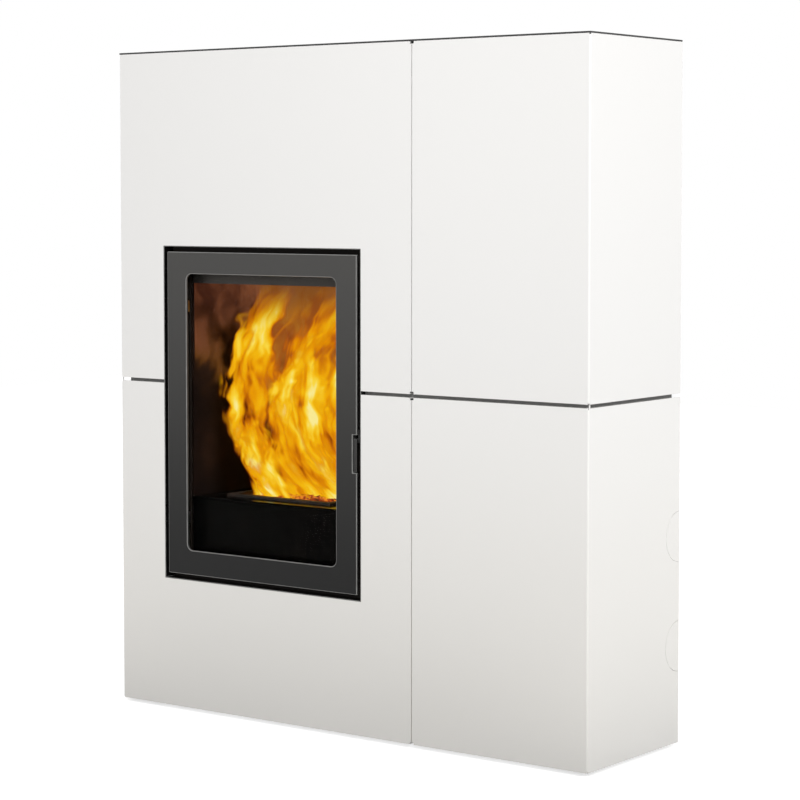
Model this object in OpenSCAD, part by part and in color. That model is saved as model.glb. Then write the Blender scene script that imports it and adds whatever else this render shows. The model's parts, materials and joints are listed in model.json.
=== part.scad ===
// Slim pellet stove with folded steel casing, window door at the left and pellet hopper at the right.
// Millimetres, +Z up, front towards -Y, origin at the floor under the middle of the casing.
// Places inside the modules are written as [across from the left side, depth from the front, height
// above the casing's lower edge], and the module stove_frame moves them into the part's own frame.

/* [Casing] */
// Width of the casing
body_w = 1000; // [980:5:1040]
// Depth of the casing
body_d = 283; // [283:1:300]
// Height of the casing without its feet
body_h = 1170; // [1150:5:1250]
// Casing's lower edge above the floor
floor_gap = 6; // [5:1:12]
// Middle of the upright joint between the columns, from the left side
column_x = 654; // [640:1:664]
// Width of the upright joint
column_gap = 2; // [1:0.5:4]
// Middle of the level joint between upper and lower panels
mid_z = 583.5; // [570:0.5:600]
// Height of the level joint
mid_gap = 6; // [4:0.5:8]
// Thickness of the casing sheet
sheet = 2; // [1.5:0.5:2.5]
// Outer radius of the folded corners
fold_r = 3; // [3:0.5:5]
// Depth of the turned-in edges of the panels
return_w = 10; // [8:1:11]
// Size of the relief notches at the ends of the folds
relief = 4; // [2:0.5:5]
// Thickness of the top plate
top_t = 3; // [2:0.5:5]

/* [Frame] */
// Clear space between casing face and frame
frame_inset = 12; // [12:1:14]
// Thickness of the frame's sheet
frame_t = 2; // [1.5:0.5:3]
// Leg of the corner posts
post_w = 30; // [25:1:36]
// Height of the rail behind the level joint
rail_h = 24; // [20:1:30]
// Thickness of the base plate
base_t = 3; // [2:0.5:5]
// Underside of the base plate above the casing's lower edge
base_z = 14; // [12:1:20]
// Height of the base plate's upturned rim
base_rim = 22; // [15:1:30]
// Near face of the partition between the columns, from the left side
partition_x = 598; // [594:1:602]
// Radius of a levelling foot's pad
foot_r = 22; // [18:1:26]
// Thickness of a levelling foot's pad
foot_t = 8; // [6:1:10]
// Radius of a levelling foot's stem
stem_r = 5; // [4:0.5:6]
// Distance of the feet from the casing's faces
foot_inset = 60; // [50:1:75]

/* [Door] */
// Left edge of the cut-out in the front panels
recess_x = 104; // [98:1:108]
// Lower edge of the cut-out
recess_z = 229.5; // [225:0.5:235]
// Width of the cut-out
recess_w = 444; // [440:1:446]
// Height of the cut-out
recess_h = 596; // [590:1:600]
// Depth of the cut-out's lining
recess_d = 24; // [24:1:26]
// Thickness of the lining
trim_t = 1.5; // [1:0.1:2]
// Gap beside the door
door_gap_x = 9; // [9:0.25:11]
// Gap above and below the door
door_gap_z = 10.5; // [8:0.5:13]
// Thickness of the door's face plate
door_t = 5; // [4:0.5:5]
// Width of the door's side members
stile_w = 44.5; // [43:0.5:46]
// Height of the door's top member
top_rail_h = 39; // [37:1:45]
// Height of the door's bottom member
bottom_rail_h = 44; // [40:1:48]
// Radius of the window's corners
window_r = 12; // [8:1:13]
// Overlap of the glass behind the face plate
glass_lap = 11.5; // [10:0.5:12.5]
// Thickness of the ceramic glass
glass_t = 4; // [4:0.5:5]
// Thickness of the flat seal under the glass
glass_seal_t = 1.5; // [1:0.5:2]
// Clear space round the glass
glass_clear = 1; // [0.5:0.1:1.5]
// Width of the door's inner frame
inner_w = 15; // [14:1:16]
// Depth of the door's inner frame
inner_d = 13; // [12:0.5:13]
// Width of the rope seal
rope_w = 10; // [8:1:11]
// Clear space left by a soft seal at rest
soft_clear = 0.3; // [0.2:0.1:0.5]
// Distance of the hinge axis from the door's left edge
hinge_x = 9; // [9:0.5:9.5]
// Distance of the hinge axis behind the door's face
hinge_d = 12; // [12:0.5:12.5]
// Radius of the hinge pins
hinge_pin_r = 3; // [2.5:0.5:3]
// Radius of the hinge knuckles
knuckle_r = 5; // [4.5:0.5:5]
// Height of a door knuckle
knuckle_h = 24; // [16:1:34]
// Distance of the hinges from the door's ends
hinge_end = 90; // [70:5:140]
// Running clearance of pins in their bores
pin_clear = 0.05; // [0.02:0.01:0.1]

/* [Latch] */
// Depth of the finger notch in the door's right edge
notch_w = 9; // [8:0.5:10]
// Lower edge of the finger notch above the door's lower edge
notch_z = 207.5; // [180:0.5:230]
// Height of the finger notch
notch_h = 64; // [50:1:80]
// Clear space round the lever in the notch
lever_clear = 1.5; // [1:0.25:2]
// Thickness of the lever's blade
lever_t = 3; // [2:0.5:4]
// Depth of the latch axis behind the door's face
latch_d = 9.5; // [9:0.5:10]
// Distance of the latch axis below the notch's top
latch_drop = 10; // [8:1:14]
// Radius of the latch pin
latch_pin_r = 1.5; // [1:0.5:2]
// Reach of the latch hook behind its axis
hook_reach = 10.5; // [10:0.5:11]

/* [Firebox] */
// Thickness of the firebox steel
fire_t = 3; // [2:0.5:4]
// Setback of the firebox's stand from the firebox's front
stand_front = 20; // [10:5:40]
// Setback of the firebox's stand from the firebox's back
stand_rear = 60; // [40:5:80]
// Depth of the firebox behind its front plate
fire_d = 198; // [190:1:200]
// Space between the door's seal line and the firebox side
fire_side = 3; // [2:0.5:5]
// Height of the firebox above the door opening
fire_rise = 40; // [20:1:60]
// Thickness of the fireproof lining boards
board_t = 20; // [15:1:25]
// Top of the hearth plate
hearth_z = 378; // [370:1:390]
// Thickness of the hearth plate
hearth_t = 3; // [2:0.5:5]
// Middle of the burn pot from the left side
pot_x = 315; // [305:1:325]
// Width of the burn pot
pot_w = 220; // [180:1:230]
// Depth of the burn pot from front to back
pot_d = 90; // [70:1:96]
// Height of the burn pot below the hearth
pot_h = 38; // [30:1:39]
// Thickness of the burn pot's wall
pot_t = 5; // [3:0.5:6]
// Width of the rim that the burn pot hangs by
pot_rim = 8; // [6:0.5:10]
// Height of the ash pan
pan_h = 45; // [40:1:46]
// Thickness of the ash pan's sheet
pan_t = 1.5; // [1:0.5:2]
// Clear space round the ash pan
pan_clear = 3; // [2:0.5:5]
// Radius of the igniter
igniter_r = 6; // [5:0.5:8]

/* [Hopper] */
// Distance of the lid's left edge from the hopper's left side
lid_side = 32; // [28:1:40]
// Front edge of the lid from the front
lid_front = 40; // [38:1:44]
// Distance of the lid's hinge edge from the back
lid_rear = 43; // [43:1:50]
// Gap round the lid
lid_gap = 2; // [1:0.5:3]
// Distance of the lid's seal from the lid's edges
seal_inset = 24; // [22:1:30]
// Width of the lid's seal
seal_w = 8; // [6:1:12]
// Thickness of the lid's seal
seal_t = 7; // [5:0.5:8]
// Radius of the lid's hinge pin
lid_pin_r = 1.5; // [1:0.25:1.5]
// Radius of the lid's hinge knuckles
lid_knuckle_r = 3; // [2.75:0.25:3]
// Thickness of the hopper's sheet
hopper_t = 1.5; // [1:0.5:2]
// Front of the hopper from the front
hopper_front = 55; // [50:1:58]
// Distance of the hopper from the back
hopper_rear = 58; // [54:1:62]
// Clear space between the hopper and the corner post
hopper_gap = 2; // [1:1:8]
// Height of the hopper's slope
funnel_h = 112; // [90:2:150]
// Height of the hopper's straight outlet
neck_h = 30; // [20:1:40]

/* [Feed] */
// Inner radius of the auger tube
auger_r = 26; // [24:1:28]
// Wall of the auger tube
auger_wall = 2; // [1.5:0.5:3]
// Height of the auger's axis
auger_z = 690; // [680:1:700]
// Distance of the hopper's outlet from the hopper's left side
outlet_side = 140; // [130:1:160]
// Length of the hopper's outlet
outlet_w = 60; // [50:1:70]
// Clear space round the screw
screw_clear = 1; // [0.5:0.25:2]
// Radius of the screw's shaft
screw_shaft_r = 8; // [7:0.5:10]
// Thickness of the screw's flight
flight_t = 4; // [3:0.5:5]
// Turns of the screw
screw_turns = 5; // [4:1:7]
// Side of the chute
chute_w = 50; // [44:1:52]
// Reach of the chute into the fire chamber
chute_reach = 25; // [15:1:30]
// Height of the chute's upright part
chute_top = 20; // [16:1:24]

/* [Blowers] */
// Distance of the collars from the right side
flue_side = 120; // [115:1:125]
// Height of the flue collar's axis
flue_z = 347.5; // [340:0.5:352]
// Outer radius of the flue collar
flue_r = 40; // [38:1:40]
// Height of the air inlet's axis
air_z = 163.5; // [160:0.5:170]
// Outer radius of the air inlet
air_r = 30; // [25:1:30]
// Wall of the collars
collar_t = 1.5; // [1:0.5:2]
// Free length of the collars in the rear recess
collar_len = 40; // [35:1:50]
// Depth of the rear recess
pocket_d = 56; // [52:1:58]
// Space between the flue collar and the recess's inner side
pocket_side = 60; // [50:1:70]
// Space in the recess below the lower knock-out
pocket_below = 30; // [20:1:40]
// Space in the recess above the upper knock-out
pocket_above = 40; // [30:1:50]
// Length of the air inlet inside the casing
air_reach = 60; // [30:5:80]
// Radius of the knock-outs in the side panel
knockout_r = 43; // [43:0.5:45]
// Width of the knock-outs' slit
slit_w = 0.6; // [0.4:0.1:1]
// Radius of the exhaust fan's housing
exhaust_r = 72; // [68:1:74]
// Depth of the exhaust fan's housing
exhaust_d = 55; // [50:1:56]
// Clear space between the exhaust fan and the partition
exhaust_gap = 78; // [60:1:80]
// Radius of the convection fan's rotor
rotor_r = 28; // [25:1:30]
// Length of the convection fan's rotor
rotor_w = 280; // [240:5:300]
// Distance of the convection fan's axis from the back
rotor_rear = 90; // [85:1:95]
// Height of the convection fan's axis above the base plate
rotor_up = 75; // [70:1:90]
// Gap between the convection fan's blades and its scroll
scroll_gap = 7; // [4:1:12]
// Height of the convection fan's scroll above its axis
scroll_h = 85; // [60:1:110]
// Blades of each fan
blades = 16; // [12:1:20]

/* [Controls] */
// Depth of the control box from front to back
control_d = 80; // [60:1:100]
// Height of the control box
control_h = 160; // [120:1:200]
// Thickness of the control box
control_t = 40; // [30:1:50]
// Lower edge of the control box
control_z = 60; // [50:1:90]
// Height of the rocker switch
switch_z = 120; // [100:1:140]
// Width of the rocker
rocker_w = 21; // [18:1:22]
// Radius of the rear screws' heads
screw_r = 4; // [3:0.5:5]
// Distance of the rear screws from the panel's edges
screw_edge = 8; // [7:1:10]
// Height of the lowest rear screw
screw_z = 60; // [50:1:80]

/* [Hidden] */
$fn = 48;

// Casing
frame_x0 = frame_inset + frame_t;
frame_x1 = body_w - frame_x0;
frame_y0 = frame_x0;
frame_y1 = body_d - 2 * sheet;
rear_y = frame_y1 - frame_t;
panel_top = body_h - top_t;
upper_z = mid_z + mid_gap / 2;
lower_top = mid_z - mid_gap / 2;
left_end = column_x - column_gap / 2;
right_start = column_x + column_gap / 2;
floor_z = base_z + base_t;
frame_top = panel_top - sheet;
partition_x1 = partition_x + frame_t;
side_return = 15;

// Door, counted from the left side, the front and the casing's lower edge
recess_x1 = recess_x + recess_w;
recess_z1 = recess_z + recess_h;
door_x0 = recess_x + door_gap_x;
door_x1 = recess_x1 - door_gap_x;
door_z0 = recess_z + door_gap_z;
door_z1 = recess_z1 - door_gap_z;
window_x0 = door_x0 + stile_w;
window_x1 = door_x1 - stile_w;
window_z0 = door_z0 + bottom_rail_h;
window_z1 = door_z1 - top_rail_h;
glass_x0 = window_x0 - glass_lap;
glass_x1 = window_x1 + glass_lap;
glass_z0 = window_z0 - glass_lap;
glass_z1 = window_z1 + glass_lap;
bed_x0 = glass_x0 - glass_clear;
bed_x1 = glass_x1 + glass_clear;
bed_z0 = glass_z0 - glass_clear;
bed_z1 = glass_z1 + glass_clear;
glass_y = door_t + glass_seal_t;
glass_back = glass_y + glass_t;
inner_back = door_t + inner_d;
front_plate_y = recess_d;
front_plate_back = recess_d + fire_t;
hinge_px = door_x0 + hinge_x;
hinge_lo = door_z0 + hinge_end;
hinge_hi = door_z1 - hinge_end - knuckle_h;
hinge_arm_h = 4;
notch_x0 = door_x1 - notch_w;
notch_z0 = door_z0 + notch_z;
notch_z1 = notch_z0 + notch_h;
lever_x0 = notch_x0 + lever_clear;
lever_x1 = door_x1 - lever_clear;
latch_z = notch_z1 - latch_drop;
latch_barrel_r = latch_pin_r + 2;
hook_y = latch_d + hook_reach;
hook_t = 3;
keeper_lip = latch_z + latch_barrel_r + 2;

// Firebox
mouth_x0 = bed_x0;
mouth_x1 = bed_x1;
mouth_z0 = bed_z0;
mouth_z1 = bed_z1;
fire_x0 = mouth_x0 - inner_w - fire_side + fire_t;
fire_x1 = mouth_x1 + inner_w + fire_side - fire_t;
fire_z0 = mouth_z0;
fire_z1 = mouth_z1 + fire_rise;
fire_y1 = front_plate_back + fire_d - fire_t;
board_x0 = fire_x0 + board_t;
board_x1 = fire_x1 - board_t;
board_y1 = fire_y1 - board_t;
hearth_z0 = hearth_z - hearth_t;
pot_y = front_plate_back + 88;
pot_x0 = pot_x - pot_w / 2;
pot_x1 = pot_x + pot_w / 2;
pot_y0 = pot_y - pot_d / 2;
pot_y1 = pot_y + pot_d / 2;
pot_clear = 1;
pan_z1 = fire_z0 + pan_h;

// Hopper and feed
hopper_x0 = partition_x1;
hopper_x1 = frame_x1 - post_w - hopper_gap;
hopper_y1 = body_d - hopper_rear;
lid_x = hopper_x0 + lid_side;
lid_x1 = hopper_x1;
lid_back = body_d - lid_rear;
ring_x0 = lid_x + seal_inset;
ring_x1 = lid_x1 - seal_inset;
ring_y0 = lid_front + seal_inset;
ring_y1 = lid_back - seal_inset;
hopper_top = panel_top - seal_t - soft_clear;
lid_pivot_y = lid_back + lid_knuckle_r + 0.5;
lid_pivot_z = body_h - top_t - lid_pin_r;
lid_slot_y = lid_pivot_y + lid_knuckle_r + 1.5;
auger_out_r = auger_r + auger_wall;
auger_y = (hopper_front + hopper_y1) / 2;
outlet_x = hopper_x0 + outlet_side;
auger_x0 = partition_x - 50;
auger_x1 = outlet_x + outlet_w / 2 + 20;
outlet_z = auger_z + auger_out_r;
neck_z = outlet_z + neck_h;
funnel_z = neck_z + funnel_h;
chute_x0 = auger_x0 + 2;
chute_x1 = chute_x0 + chute_w - 4;
chute_end = board_x1 - chute_reach;
chute_knee = auger_z - auger_out_r - chute_top;

// Blowers
flue_x = body_w - flue_side;
pocket_y = body_d - pocket_d - sheet;
pocket_x0 = flue_x - flue_r - pocket_side;
pocket_z0 = air_z - knockout_r - pocket_below;
pocket_z1 = flue_z + knockout_r + pocket_above;
exhaust_x = partition_x1 + exhaust_gap + exhaust_r;
exhaust_y1 = pocket_y - 8;
exhaust_y0 = exhaust_y1 - exhaust_d;
rotor_x0 = (fire_x0 + fire_x1) / 2 - rotor_w / 2;
rotor_y = body_d - rotor_rear;
rotor_z = floor_z + rotor_up;
scroll_r = rotor_r + scroll_gap;
switch_x = (partition_x1 + pocket_x0) / 2;

// Moves what is drawn from the casing's left front lower corner into the part's own frame
module stove_frame() {
    translate([-body_w / 2, -body_d / 2, floor_gap]) children();
}

// Block between two opposite corners
module block(from, to) {
    translate(from) cube(to - from);
}

// Round bar along one of the three directions
module bar_x(from, length, r) {
    translate(from) rotate([0, 90, 0]) cylinder(h = length, r = r);
}
module bar_y(from, length, r) {
    translate(from) rotate([-90, 0, 0]) cylinder(h = length, r = r);
}
module bar_z(from, length, r) {
    translate(from) cylinder(h = length, r = r);
}

// Upright ring seen from the front: outer corners, inner corners, near and far depth
module front_ring(x0, z0, x1, z1, wx, wz, y0, y1) {
    difference() {
        block([x0, y0, z0], [x1, y1, z1]);
        block([x0 + wx, y0 - 1, z0 + wz], [x1 - wx, y1 + 1, z1 - wz]);
    }
}

// Outline of a folded panel seen from above, with its fold at the left front corner
module fold_outline(w, d) {
    difference() {
        union() {
            translate([fold_r, 0]) square([w - fold_r, sheet]);
            translate([0, fold_r]) square([sheet, d - fold_r]);
            intersection() {
                translate([fold_r, fold_r]) circle(r = fold_r);
                square([fold_r, fold_r]);
            }
        }
        translate([fold_r, fold_r]) circle(r = fold_r - sheet);
    }
}

// Folded panel with its turned-in edges and relief notches, its fold at the left
module folded_panel(w, z0, z1, tongue) {
    difference() {
        union() {
            translate([0, 0, z0]) linear_extrude(height = z1 - z0) fold_outline(w, body_d);
            block([w - sheet, sheet, z0 + relief], [w, sheet + return_w, z1 - relief]);
            block([sheet, body_d - sheet, z0 + relief], [side_return, body_d, z1 - relief]);
            for (z = [z0, z1 - sheet]) {
                block([fold_r + relief, sheet, z], [w - relief, sheet + return_w, z + sheet]);
                block([sheet, fold_r + relief, z], [sheet + return_w, body_d - relief, z + sheet]);
            }
        }
        for (z = [z0, z1]) {
            block([-1, -1, z - relief / 2], [fold_r, fold_r, z + relief / 2]);
            block([w - relief + 1, -1, z - relief], [w + 1, sheet + 1, z + relief]);
        }
    }
    if (tongue) {
        block([0.5, fold_r, z1 - 2 * sheet], [sheet, fold_r + sheet, z1 + mid_gap - 1]);
    }
}

// Keeps a panel whole while its door cut-out is taken away
module door_cutout() {
    block([recess_x, -1, recess_z], [recess_x1, sheet + return_w + 1, recess_z1]);
}

module left_panel(z0, z1, tongue) {
    difference() {
        folded_panel(left_end, z0, z1, tongue);
        door_cutout();
    }
}

module right_panel(z0, z1, tongue) {
    translate([body_w, 0, 0]) mirror([1, 0, 0]) folded_panel(body_w - right_start, z0, z1, tongue);
}

// Slit round one half-round knock-out, with three bridges left in it
module knockout_slit(z) {
    intersection() {
        difference() {
            bar_x([body_w - sheet - 1, body_d, z], sheet + 2, knockout_r);
            bar_x([body_w - sheet - 2, body_d, z], sheet + 4, knockout_r - slit_w);
            for (a = [-45, 0, 45]) {
                translate([body_w, body_d, z]) rotate([a, 0, 0])
                    block([-sheet - 2, -knockout_r - 2, -1.5], [1, -knockout_r + 2, 1.5]);
            }
        }
        block([body_w - sheet - 1, 0, 0], [body_w + 1, body_d - sheet, lower_top]);
    }
    block([body_w - side_return - 1, body_d - sheet, z - knockout_r],
        [body_w - sheet, body_d + 1, z + knockout_r]);
}

module upper_left_panel() {
    color("white") stove_frame() left_panel(upper_z, panel_top, false);
}
module lower_left_panel() {
    color("white") stove_frame() left_panel(0, lower_top, true);
}
module upper_right_panel() {
    color("white") stove_frame() right_panel(upper_z, panel_top, false);
}
module lower_right_panel() {
    color("white") stove_frame() difference() {
        right_panel(0, lower_top, true);
        for (z = [flue_z, air_z]) knockout_slit(z);
    }
}

module top_plate() {
    color("dimgray") stove_frame() difference() {
        block([0, 0, panel_top], [body_w, body_d, body_h]);
        block([lid_x - lid_gap, lid_front - lid_gap, panel_top - 1],
            [lid_x1 + lid_gap, lid_slot_y, body_h + 1]);
        for (x = [fire_x0 + 20 : 24 : fire_x1 - 30]) {
            block([x, body_d - 90, panel_top - 1], [x + 8, body_d - 40, body_h + 1]);
        }
    }
}

// Frame
module base_plate() {
    y1 = frame_y1 - frame_t;
    color("gray") stove_frame() difference() {
        union() {
            block([frame_x0, frame_y0, base_z], [frame_x1, y1, floor_z]);
            front_rim = [frame_x0, frame_y0, base_z];
            block(front_rim, [frame_x1, frame_y0 + frame_t, base_z + base_rim]);
            block([frame_x0, y1 - frame_t, base_z], [frame_x1, y1, base_z + base_rim]);
        }
        for (x = [foot_inset, body_w - foot_inset], y = [foot_inset, body_d - foot_inset]) {
            bar_z([x, y, base_z - 1], base_t + 2, stem_r + pin_clear);
        }
    }
}

module foot(x, y) {
    color("black") stove_frame() {
        bar_z([x, y, -floor_gap], foot_t, foot_r);
        bar_z([x, y, foot_t - floor_gap - 1], base_z + floor_gap - foot_t + 1, foot_r - 8);
        bar_z([x, y, 0], floor_z + 25, stem_r);
    }
}
module foot_front_left() { foot(foot_inset, foot_inset); }
module foot_front_right() { foot(body_w - foot_inset, foot_inset); }
module foot_rear_left() { foot(foot_inset, body_d - foot_inset); }
module foot_rear_right() { foot(body_w - foot_inset, body_d - foot_inset); }

// Angle post with its outer corner at [x, y] and its legs towards dx and dy
module post(x, y, dx, dy) {
    color("gray") stove_frame() translate([x, y, floor_z]) {
        h = frame_top - frame_t - floor_z;
        translate([dx < 0 ? -post_w : 0, dy < 0 ? -frame_t : 0, 0]) cube([post_w, frame_t, h]);
        translate([dx < 0 ? -frame_t : 0, dy < 0 ? -post_w : 0, 0]) cube([frame_t, post_w, h]);
    }
}
module post_front_left() { post(frame_x0, frame_y0 + frame_t, 1, 1); }
module post_front_right() { post(frame_x1, frame_y0 + frame_t, -1, 1); }
module post_rear_left() { post(frame_x0, rear_y - frame_t, 1, -1); }
module post_rear_right() { post(frame_x1, pocket_y, -1, -1); }

module partition() {
    color("gray") stove_frame() difference() {
        block([partition_x, frame_y0 + frame_t, floor_z],
            [partition_x1, rear_y - frame_t, frame_top - frame_t]);
        bar_x([partition_x - 1, auger_y, auger_z], frame_t + 2, auger_out_r);
        block([partition_x - 1, exhaust_y0 + 8, flue_z - 25], [partition_x1 + 1, exhaust_y1 - 8, flue_z + 25]);
    }
}

// Strip behind the level joint, in two bent halves that stop at the door recess
module mid_rail() {
    z0 = mid_z - rail_h / 2;
    z1 = mid_z + rail_h / 2;
    y0 = sheet + return_w;
    color("gray") stove_frame() {
        block([frame_inset, y0, z0], [recess_x, frame_y0 + frame_t, z1]);
        block([frame_inset, y0, z0], [frame_x0, rear_y - frame_t, z1]);
        block([recess_x1, y0, z0], [body_w - frame_inset, frame_y0 + frame_t, z1]);
        block([frame_x1, y0, z0], [body_w - frame_inset, rear_y - frame_t, z1]);
    }
}

module top_frame() {
    y1 = rear_y;
    color("gray") stove_frame() difference() {
        union() {
            difference() {
                block([frame_inset, sheet + return_w - 2, frame_top - frame_t], [body_w - frame_inset, y1, frame_top]);
                block([frame_x0 + 20, frame_y0 + 22, frame_top - frame_t - 1],
                    [frame_x1 - 20, y1 - 24, frame_top + 1]);
            }
            block([frame_x0 + post_w, frame_y0, frame_top - 20],
                [frame_x1 - post_w, frame_y0 + frame_t, frame_top]);
            block([frame_x0 + post_w, y1 - frame_t, frame_top - 20], [frame_x1 - post_w, y1, frame_top]);
        }
    }
}

module rear_panel() {
    color("dimgray") stove_frame() difference() {
        block([frame_x0, rear_y, floor_z + 5], [frame_x1, frame_y1, frame_top]);
        block([pocket_x0, rear_y - 1, pocket_z0], [body_w, frame_y1 + 1, pocket_z1]);
        for (z = [rotor_z - 45 : 15 : rotor_z + 30]) {
            block([rotor_x0 + 20, rear_y - 1, z], [rotor_x0 + rotor_w - 20, frame_y1 + 1, z + 6]);
        }
        block([switch_x - 11.5, rear_y - 1, switch_z - 8], [switch_x + 11.5, frame_y1 + 1, switch_z + 8]);
        block([switch_x - 12, rear_y - 1, switch_z + 20], [switch_x + 12, frame_y1 + 1, switch_z + 48]);
    }
}

// Tray let into the rear, open towards the side's knock-outs, that the two collars stand in
module duct_recess() {
    x1 = frame_x1;
    color("dimgray") stove_frame() difference() {
        block([pocket_x0, pocket_y, pocket_z0], [x1, rear_y, pocket_z1]);
        block([pocket_x0 + frame_t, pocket_y + sheet, pocket_z0 + frame_t],
            [x1 + 1, rear_y + 1, pocket_z1 - frame_t]);
        bar_y([flue_x, pocket_y - 1, flue_z], sheet + 2, flue_r - 1);
        bar_y([flue_x, pocket_y - 1, air_z], sheet + 2, air_r - 1);
    }
}

module rear_screws() {
    color("silver") stove_frame() {
        z0 = pocket_z1 + 4 * screw_edge;
        step = (frame_top - 5 * screw_edge - z0) / 2;
        for (x = [frame_x0 + screw_edge, frame_x1 - screw_edge], k = [0 : 2]) screw(x, z0 + k * step);
        for (k = [0, 1]) screw(frame_x0 + screw_edge, screw_z + k * (z0 - screw_z) / 2);
    }
}
module screw(x, z) {
    bar_y([x, frame_y1, z], 1.6, screw_r);
}

// Hopper
module hopper_lid() {
    color("dimgray") stove_frame() difference() {
        union() {
            block([lid_x, lid_front, panel_top], [lid_x1, lid_back, body_h]);
            for (x = [lid_x + 30, lid_x1 - 50]) {
                block([x, lid_back - 18, panel_top - 2], [x + 20, lid_pivot_y, panel_top]);
                bar_x([x, lid_pivot_y, lid_pivot_z], 20, lid_knuckle_r);
            }
        }
        for (x = [lid_x + 30, lid_x1 - 50]) {
            bar_x([x - 1, lid_pivot_y, lid_pivot_z], 22, lid_pin_r + pin_clear);
        }
    }
}

module hopper_lid_seal() {
    color("black") stove_frame() difference() {
        block([ring_x0, ring_y0, panel_top - seal_t], [ring_x1, ring_y1, panel_top]);
        block([ring_x0 + seal_w, ring_y0 + seal_w, panel_top - seal_t - 1],
            [ring_x1 - seal_w, ring_y1 - seal_w, panel_top + 1]);
    }
}

// Fixed leaves, knuckles and pins of the lid's two hinges
module lid_hinge_brackets() {
    color("silver") stove_frame() for (x = [lid_x + 30, lid_x1 - 50]) {
        bar_x([x - 10.5, lid_pivot_y, lid_pivot_z], 41, lid_pin_r);
        for (s = [x - 10.5, x + 20.5]) {
            bar_x([s, lid_pivot_y, lid_pivot_z], 10, lid_knuckle_r);
            block([s, lid_pivot_y, panel_top - 2], [s + 10, lid_slot_y + 10, panel_top]);
        }
    }
}

// Upright prism of the hopper's front view, cut to its side view, grown by g on its walls
module hopper_solid(g) {
    z1 = hopper_top;
    intersection() {
        translate([0, hopper_y1 + 1, 0]) rotate([90, 0, 0]) linear_extrude(height = hopper_y1 - hopper_front + 2)
            polygon([
                [hopper_x0 + g, z1], [hopper_x1 - g, z1], [hopper_x1 - g, funnel_z],
                [outlet_x + outlet_w / 2 - g, neck_z], [outlet_x + outlet_w / 2 - g, outlet_z],
                [outlet_x - outlet_w / 2 + g, outlet_z], [outlet_x - outlet_w / 2 + g, neck_z],
                [hopper_x0 + g, funnel_z]]);
        translate([hopper_x0 - 1, 0, 0]) rotate([90, 0, 90]) linear_extrude(height = hopper_x1 - hopper_x0 + 2)
            polygon([
                [hopper_front + g, z1], [hopper_y1 - g, z1], [hopper_y1 - g, funnel_z],
                [auger_y + auger_r - g, neck_z], [auger_y + auger_r - g, outlet_z],
                [auger_y - auger_r + g, outlet_z], [auger_y - auger_r + g, neck_z],
                [hopper_front + g, funnel_z]]);
    }
}

module hopper() {
    mouth = [ring_x0 + seal_w, ring_y0 + seal_w];
    mouth_end = [ring_x1 - seal_w, ring_y1 - seal_w];
    color("silver") stove_frame() {
        difference() {
            hopper_solid(0);
            intersection() {
                hopper_solid(hopper_t);
                block([0, 0, 0], [body_w, body_d, hopper_top - hopper_t]);
            }
            block([mouth.x, mouth.y, hopper_top - 5], [mouth_end.x, mouth_end.y, hopper_top + 1]);
            block([outlet_x - outlet_w / 2 + hopper_t, auger_y - auger_r + hopper_t, outlet_z - 1],
                [outlet_x + outlet_w / 2 - hopper_t, auger_y + auger_r - hopper_t, outlet_z + 1]);
        }
    }
}

// Feed
module auger_tube() {
    color("silver") stove_frame() difference() {
        union() {
            bar_x([auger_x0, auger_y, auger_z], auger_x1 - auger_x0, auger_out_r);
            block([outlet_x - outlet_w / 2, auger_y - auger_r, auger_z],
                [outlet_x + outlet_w / 2, auger_y + auger_r, outlet_z]);
        }
        bar_x([auger_x0 + auger_wall, auger_y, auger_z], auger_x1 - auger_x0, auger_r);
        block([outlet_x - outlet_w / 2 + hopper_t, auger_y - auger_r + hopper_t, auger_z],
            [outlet_x + outlet_w / 2 - hopper_t, auger_y + auger_r - hopper_t, outlet_z + 1]);
        block([chute_x0 + auger_wall, auger_y - chute_w / 2 + 2, auger_z - auger_out_r - 1],
            [chute_x1 - auger_wall, auger_y + chute_w / 2 - 2, auger_z]);
        bar_x([auger_x0 - 1, auger_y, auger_z], auger_wall + 2, screw_shaft_r + pin_clear);
    }
}

// One long twisted bar round a plain shaft, with round journals at its two ends
module auger_screw() {
    r = auger_r - screw_clear;
    x0 = auger_x0 + auger_wall + 2;
    length = auger_x1 - x0 - 2;
    color("silver") stove_frame() translate([0, auger_y, auger_z]) {
        translate([x0, 0, 0]) rotate([0, 90, 0])
            linear_extrude(height = length, twist = 360 * screw_turns / 2, slices = screw_turns * 10) union() {
                square([2 * r, flight_t], center = true);
                circle(r = screw_shaft_r, $fn = 16);
            }
        bar_x([auger_x0, 0, 0], auger_wall + 2, screw_shaft_r);
        bar_x([x0 + length, 0, 0], 10, screw_shaft_r);
    }
}

module auger_gearmotor() {
    x0 = auger_x1;
    color("dimgray") stove_frame() difference() {
        union() {
            bar_x([x0, auger_y, auger_z], 4, auger_out_r + 10);
            block([x0 + 4, auger_y - 40, auger_z - 60], [x0 + 34, auger_y + 40, auger_z + 30]);
            bar_x([x0 + 34, auger_y, auger_z - 30], 50, 28);
        }
        bar_x([x0 - 1, auger_y, auger_z], 16, screw_shaft_r + pin_clear);
    }
}

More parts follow.
